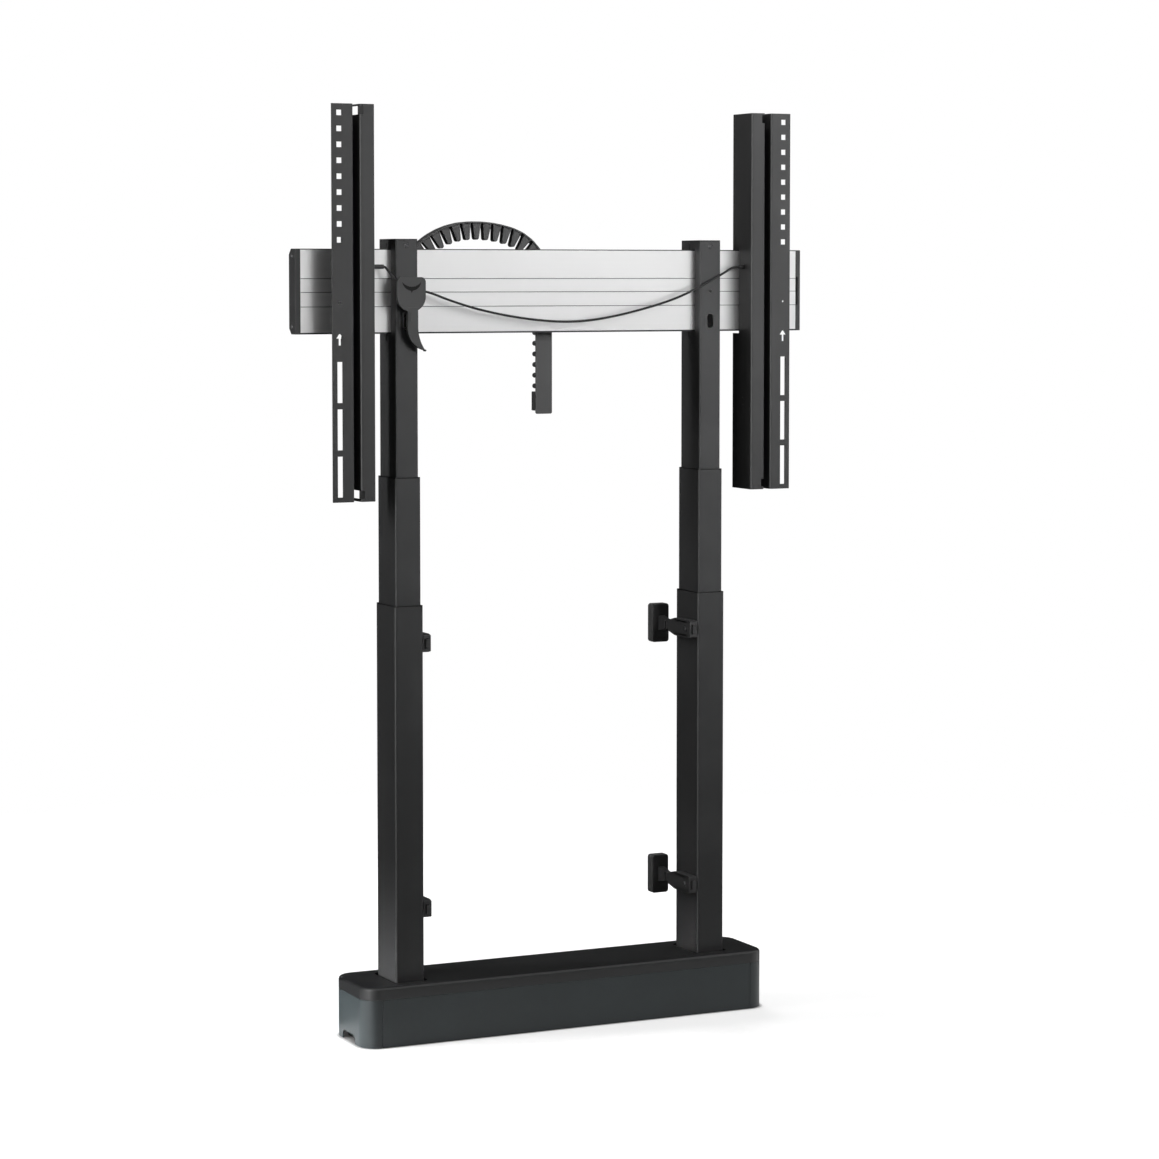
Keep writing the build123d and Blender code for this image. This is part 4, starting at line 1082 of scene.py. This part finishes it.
class LIFT_OT_chain(Operator):
    """The cable chain's links, its free end, its plate and its anchor"""

    bl_idname = "lift.chain"
    bl_label = "Cable Chain"

    def execute(self, context):
        sizes = context.scene.lift_sizes
        softened_family("chain")
        places = chain_places(sizes)
        for name, links, node_name in (
            ("chain_drop_links", places[: sizes.drop_links], "chain_drop"),
            ("chain_arch_links", places[sizes.drop_links :], "chain_arch"),
        ):
            points, turns, bands = zip(*links)
            thing = grown(
                name, points, {"link_turn": turns, "band_length": bands}, "Chain Links",
                {"Tooth": tooth_mesh(sizes), "Band": band_mesh(sizes)}, {}, "chain_black",
            )
            mount(thing, "carriage", "chain_black", node_name)
        low_x = DROP_OUTER_X - sizes.link_height + CHAIN_BAND
        outline = rounded_outline(low_x, DROP_OUTER_X, *TAB_HEIGHTS, TAB_CORNER, 3)
        tab = plain_object("chain_end_tab", slab("tab", outline, *TAB_DEPTHS))
        soften(tab, TAB_EDGE * MM, 2)
        mount(tab, "carriage", "chain_black")
        return {"FINISHED"}


class LIFT_OT_brackets(Operator):
    """The wall brackets' housings, arms and pads"""

    bl_idname = "lift.brackets"
    bl_label = "Wall Brackets"

    def execute(self, context):
        softened_family("brackets")
        for height, centre in BRACKET_HEIGHTS.items():
            for side, sign in SIDES.items():
                name = f"wall_pad_{height}_{side}"
                low_x, high_x = sorted(sign * x for x in PAD_X)
                heights = (centre - PAD_HALF_HEIGHT, centre + PAD_HALF_HEIGHT)
                mesh = cushion(name, low_x, high_x, *heights, *PAD_DEPTHS, PAD_CORNER, PAD_EDGE)
                mount_for_node(plain_object(name + "_finished", mesh), name)
        ribs = []
        for side in (1, -1):
            for centre in BRACKET_HEIGHTS.values():
                for rise in HOUSING_RIB_RISES:
                    low, high = (centre + rise + sign * HOUSING_RIB_HALF_HEIGHT for sign in (-1, 1))
                    outline = rounded_outline(*HOUSING_RIB_DEPTHS, low, high, 0.001, 3)
                    rib = slab("rib", outline, 0, HOUSING_RIB_THICKNESS)
                    for vertex in rib.vertices:
                        y, x, z = vertex.co
                        vertex.co = (side * (HOUSING_FACE_X + x), y, z)
                    ribs.append(rib)
        mount_joined("housing_ribs", ribs, "base", "bracket_black")
        return {"FINISHED"}


class LIFT_OT_fasteners(Operator):
    """Ring screws on the columns, the bar clamps' and end caps' screws, and the brackets' clamp screws"""

    bl_idname = "lift.fasteners"
    bl_label = "Screws"

    def execute(self, context):
        places = []
        for side in SIDES.values():
            x, y, z = COLUMN_SCREW
            places.append(((side * x, y, z), (0, -1, 0)))
            for x in CLAMP_SCREW_XS:
                places += [((side * x, CLAMP_REAR_Y, z), (0, 1, 0)) for z in CLAMP_SCREW_HEIGHTS]
            places += [((side * CAP_SCREW_X, 0, z), (side, 0, 0)) for z in CAP_SCREW_HEIGHTS]
        mount_screws("carriage_ring_screws", RING_SCREW, places, "carriage", "screw_dark", "carriage_screws")
        places = [
            ((side * HOUSING_FACE_X, CLAMP_SCREW_Y, z), (-side, 0, 0))
            for side in SIDES.values() for z in BRACKET_HEIGHTS.values()
        ]
        mount_screws("bracket_clamp_screws", CLAMP_SCREW, places, "base", "screw_dark", "clamp_screws")
        return {"FINISHED"}


class LIFT_OT_inner_parts(Operator):
    """Finishes for the CAD pieces that are shown as they are"""

    bl_idname = "lift.inner_parts"
    bl_label = "Inner Parts"

    def execute(self, context):
        for name, node in nodes.items():
            slot = slot_of(name)
            if not node.hide_render:
                node.material_slots[0].link = "OBJECT"
                node.material_slots[0].material = finish(slot)
        return {"FINISHED"}


# Stage


# The floor: its grey, its own light near the object and farther out, and the distances between which it grows
FLOOR_GREY = (0.36, 0.36, 0.36, 1)
FLOOR_GLOW = (0.82, 1.0)
FLOOR_GLOW_REACH = (0.55, 1.3)
FLOOR_FADE_SHARES = (0.55, 0.95)
FLOOR_DROP = 0.0004
FLOOR_SIDES = 96

# How far the surroundings light the object, beside the white that the camera sees
WORLD_DIFFUSE = 0.05

# The base's outline on the floor, and the painted shadow that darkens the floor's glow under it and around it
BASE_HALF = (0.366, 0.07)
BASE_CORNER = 0.03
SHADE_REACH = (-0.002, 0.008, 0.12)
SHADE_LEVELS = (0.03, 0.94, 1.0)

SENSOR_WIDTH = 36

# Lamps: place, target, size, the name of its power's setting, and the spread of its beam in degrees
LAMPS = {
    "side_lamp": ((-1.2, 0.2175, 2.0), (-0.28, 0, 1.5), (0.165, 2.3), "side_power", 180),
    "low_lamp": ((-1.6, 0.3, 0.2), (-0.366, -0.03, 0.0), (0.3, 0.12), "low_power", 24),
    "front_lamp": ((1.15, -2.6, 1.9), (0.3, 0, 1.31), (1.5, 1.5), "front_power", 46),
    "rear_lamp": ((0.6, 2.0, 2.1), (0, 0, 0.9), (1.0, 1.0), "rear_power", 180),
    "edge_lamp": ((-2.9, -1.3, 1.2), (0, 0, 0.9), (1.0, 2.6), "edge_power", 180),
}

# Dark cards that reflections see: two corners of each, upright or lying
FLAGS = {
    "rear_flag": ((-5, 1.5, 0.02), (4, 1.5, 5)),
    "rear_floor_flag": ((-1.6, 0.08, 0.01), (2.4, 1.5, 0.01)),
    "front_flag": ((-4, -4.3, 0.02), (6, -4.3, 1.0)),
    "front_floor_flag": ((-1.0, -4, 0.01), (3.0, -0.45, 0.01)),
}


def new_material(name):
    """A material with nothing in its tree yet."""
    material = bpy.data.materials.new(name)
    material.use_nodes = True
    material.node_tree.nodes.clear()
    return material, material.node_tree


def floor_material(radius):
    """Pale floor that keeps the object's shadow, has a painted shadow in its glow under and around the base,
    and fades to the white behind it.
    """
    material, tree = new_material("pale_floor")
    place = add_node(tree, "ShaderNodeTexCoord").outputs["Object"]
    distance = add_node(tree, "ShaderNodeVectorMath", {0: place}, operation="LENGTH").outputs["Value"]
    strength = remap(tree, distance, *FLOOR_GLOW_REACH, *FLOOR_GLOW)
    # The glow is dimmed by a painted shadow under and around the base
    shaded = add_node(tree, "ShaderNodeMath", {0: strength, 1: base_painted_shadow(tree, place)}, operation="MULTIPLY")
    seen = remap(tree, seen_as_background(tree), 0, 1, 0, shaded.outputs["Value"])
    glow = add_node(tree, "ShaderNodeEmission", {"Strength": seen})
    diffuse = add_node(tree, "ShaderNodeBsdfDiffuse", {"Color": FLOOR_GREY})
    light_inputs = {0: diffuse.outputs["BSDF"], 1: glow.outputs["Emission"]}
    both_light = add_node(tree, "ShaderNodeAddShader", light_inputs)
    fade = remap(tree, distance, *[share * radius for share in FLOOR_FADE_SHARES], 0, 1)
    clear = add_node(tree, "ShaderNodeBsdfTransparent")
    mix_inputs = {"Fac": fade, 1: both_light.outputs["Shader"], 2: clear.outputs["BSDF"]}
    mix = add_node(tree, "ShaderNodeMixShader", mix_inputs)
    add_node(tree, "ShaderNodeOutputMaterial", {"Surface": mix.outputs["Shader"]})
    return material


def base_painted_shadow(tree, place):
    """A painted shadow: nearly nothing under the base, growing to one a little way outside its rounded
    outline.
    """
    result = place
    for operation, inputs in (
        ("ABSOLUTE", {}), ("SUBTRACT", {1: (*[half - BASE_CORNER for half in BASE_HALF], 0)}),
        ("MAXIMUM", {1: (0, 0, 0)}), ("LENGTH", {}),
    ):
        step = add_node(tree, "ShaderNodeVectorMath", {0: result, **inputs}, operation=operation)
        result = step.outputs["Value" if operation == "LENGTH" else "Vector"]
    start, middle, end = (BASE_CORNER + reach for reach in SHADE_REACH)
    near = remap(tree, result, start, middle, *SHADE_LEVELS[:2])
    return remap(tree, result, middle, end, near, SHADE_LEVELS[2])


def seen_as_background(tree):
    """One for camera, glossy and transmission rays, else nothing."""
    path = add_node(tree, "ShaderNodeLightPath")
    total = path.outputs["Is Camera Ray"]
    for name in ("Is Glossy Ray", "Is Transmission Ray"):
        inputs = {0: total, 1: path.outputs[name]}
        total = add_node(tree, "ShaderNodeMath", inputs, operation="MAXIMUM").outputs["Value"]
    return total


def area_lamp(name, place, target, size, power, spread):
    """A rectangular lamp that neither the camera nor a reflection sees."""
    data = bpy.data.lights.new(name, "AREA")
    data.shape = "RECTANGLE"
    data.size, data.size_y = size
    data.energy = power
    data.spread = radians(spread)
    lamp = plain_object(name, data)
    lamp.location = place
    lamp.rotation_euler = (Vector(target) - Vector(place)).to_track_quat("-Z", "Y").to_euler()
    lamp.visible_camera = False
    lamp.visible_glossy = False
    return lamp


def flag_material():
    """A nearly black cloth, which gives back no light worth the name."""
    material, tree = new_material("flag_cloth")
    place = add_node(tree, "ShaderNodeTexCoord").outputs["Object"]
    strength = remap(tree, noise(tree, place, 2.0), 0.3, 0.7, 0.01, 0.03)
    glow = add_node(tree, "ShaderNodeEmission", {"Strength": strength})
    add_node(tree, "ShaderNodeOutputMaterial", {"Surface": glow.outputs["Emission"]})
    return material


def flag(name, material, low, high):
    """A dark card that only reflections see, as a photographer's flag."""
    corners = [low, (high[0], *low[1:]), high, (low[0], *high[1:])]
    card = plain_object(name, new_mesh(name, corners, [(0, 1, 2, 3)]))
    card.data.materials.append(material)
    card.visible_camera = False
    card.visible_diffuse = False
    card.visible_shadow = False
    card.visible_transmission = False


class LIFT_OT_stage(Operator):
    """The camera, the lamps, the white surroundings and the pale floor"""

    bl_idname = "lift.stage"
    bl_label = "Stage"

    def execute(self, context):
        stage = context.scene.lift_stage
        data = bpy.data.cameras.new("Camera")
        data.lens = stage.camera_lens
        data.sensor_width = SENSOR_WIDTH
        data.shift_y = stage.camera_shift
        camera = plain_object("Camera", data)
        camera.location = stage.camera_place
        camera.rotation_euler = (pi / 2 - stage.camera_tilt, 0, -stage.camera_turn)
        context.scene.camera = camera

        lamps = {}
        for name, (place, target, size, power, spread) in LAMPS.items():
            lamps[name] = area_lamp(name, place, target, size, getattr(stage, power), spread)
        lamps["edge_lamp"].visible_glossy = True
        lamps["edge_lamp"].visible_diffuse = False
        cloth = flag_material()
        for name, corners in FLAGS.items():
            flag(name, cloth, *corners)

        world = bpy.data.worlds.new("white_surroundings")
        context.scene.world = world
        world.use_nodes = True
        tree = world.node_tree
        strength = remap(tree, seen_as_background(tree), 0, 1, WORLD_DIFFUSE, 1)
        feed(tree, tree.nodes["Background"], {"Strength": strength, "Color": (1, 1, 1, 1)})

        radius = stage.floor_radius
        rim = [(x, y, 0) for x, y in circle(radius, FLOOR_SIDES)]
        floor = plain_object("pale_floor", new_mesh("pale_floor", rim, [tuple(range(FLOOR_SIDES))]))
        floor.location.z = -FLOOR_DROP
        floor.data.materials.append(floor_material(radius))

        context.scene.view_settings.view_transform = "Standard"
        return {"FINISHED"}


OPERATORS = (
    LIFT_OT_stage,
    LIFT_OT_cords,
    LIFT_OT_base,
    LIFT_OT_columns,
    LIFT_OT_crossbar,
    LIFT_OT_strips,
    LIFT_OT_release,
    LIFT_OT_chain,
    LIFT_OT_brackets,
    LIFT_OT_fasteners,
    LIFT_OT_inner_parts,
)


class VIEW3D_PT_lift(Panel):
    """Lists the lift's operators and settings"""

    bl_idname = "VIEW3D_PT_lift"
    bl_label = "Display Lift"
    bl_space_type = "VIEW_3D"
    bl_region_type = "UI"
    bl_category = "Lift"

    def draw(self, context):
        for operator in OPERATORS:
            self.layout.operator(operator.bl_idname)
        for settings in (context.scene.lift_sizes, context.scene.lift_colours, context.scene.lift_stage):
            box = self.layout.box()
            for name in settings.__annotations__:
                box.prop(settings, name)


SETTINGS = {"lift_sizes": LiftSizes, "lift_colours": LiftColours, "lift_stage": LiftStage}


def register():
    for group in SETTINGS.values():
        bpy.utils.register_class(group)
    for operator in OPERATORS:
        bpy.utils.register_class(operator)
    bpy.utils.register_class(VIEW3D_PT_lift)
    for name, group in SETTINGS.items():
        setattr(bpy.types.Scene, name, PointerProperty(type=group))


def unregister():
    for name in SETTINGS:
        delattr(bpy.types.Scene, name)
    bpy.utils.unregister_class(VIEW3D_PT_lift)
    for operator in reversed(OPERATORS):
        bpy.utils.unregister_class(operator)
    for group in reversed(SETTINGS.values()):
        bpy.utils.unregister_class(group)


def main():
    register()
    for operator in OPERATORS:
        family, action = operator.bl_idname.split(".")
        getattr(getattr(bpy.ops, family), action)()


if __name__ == "__main__":
    main()
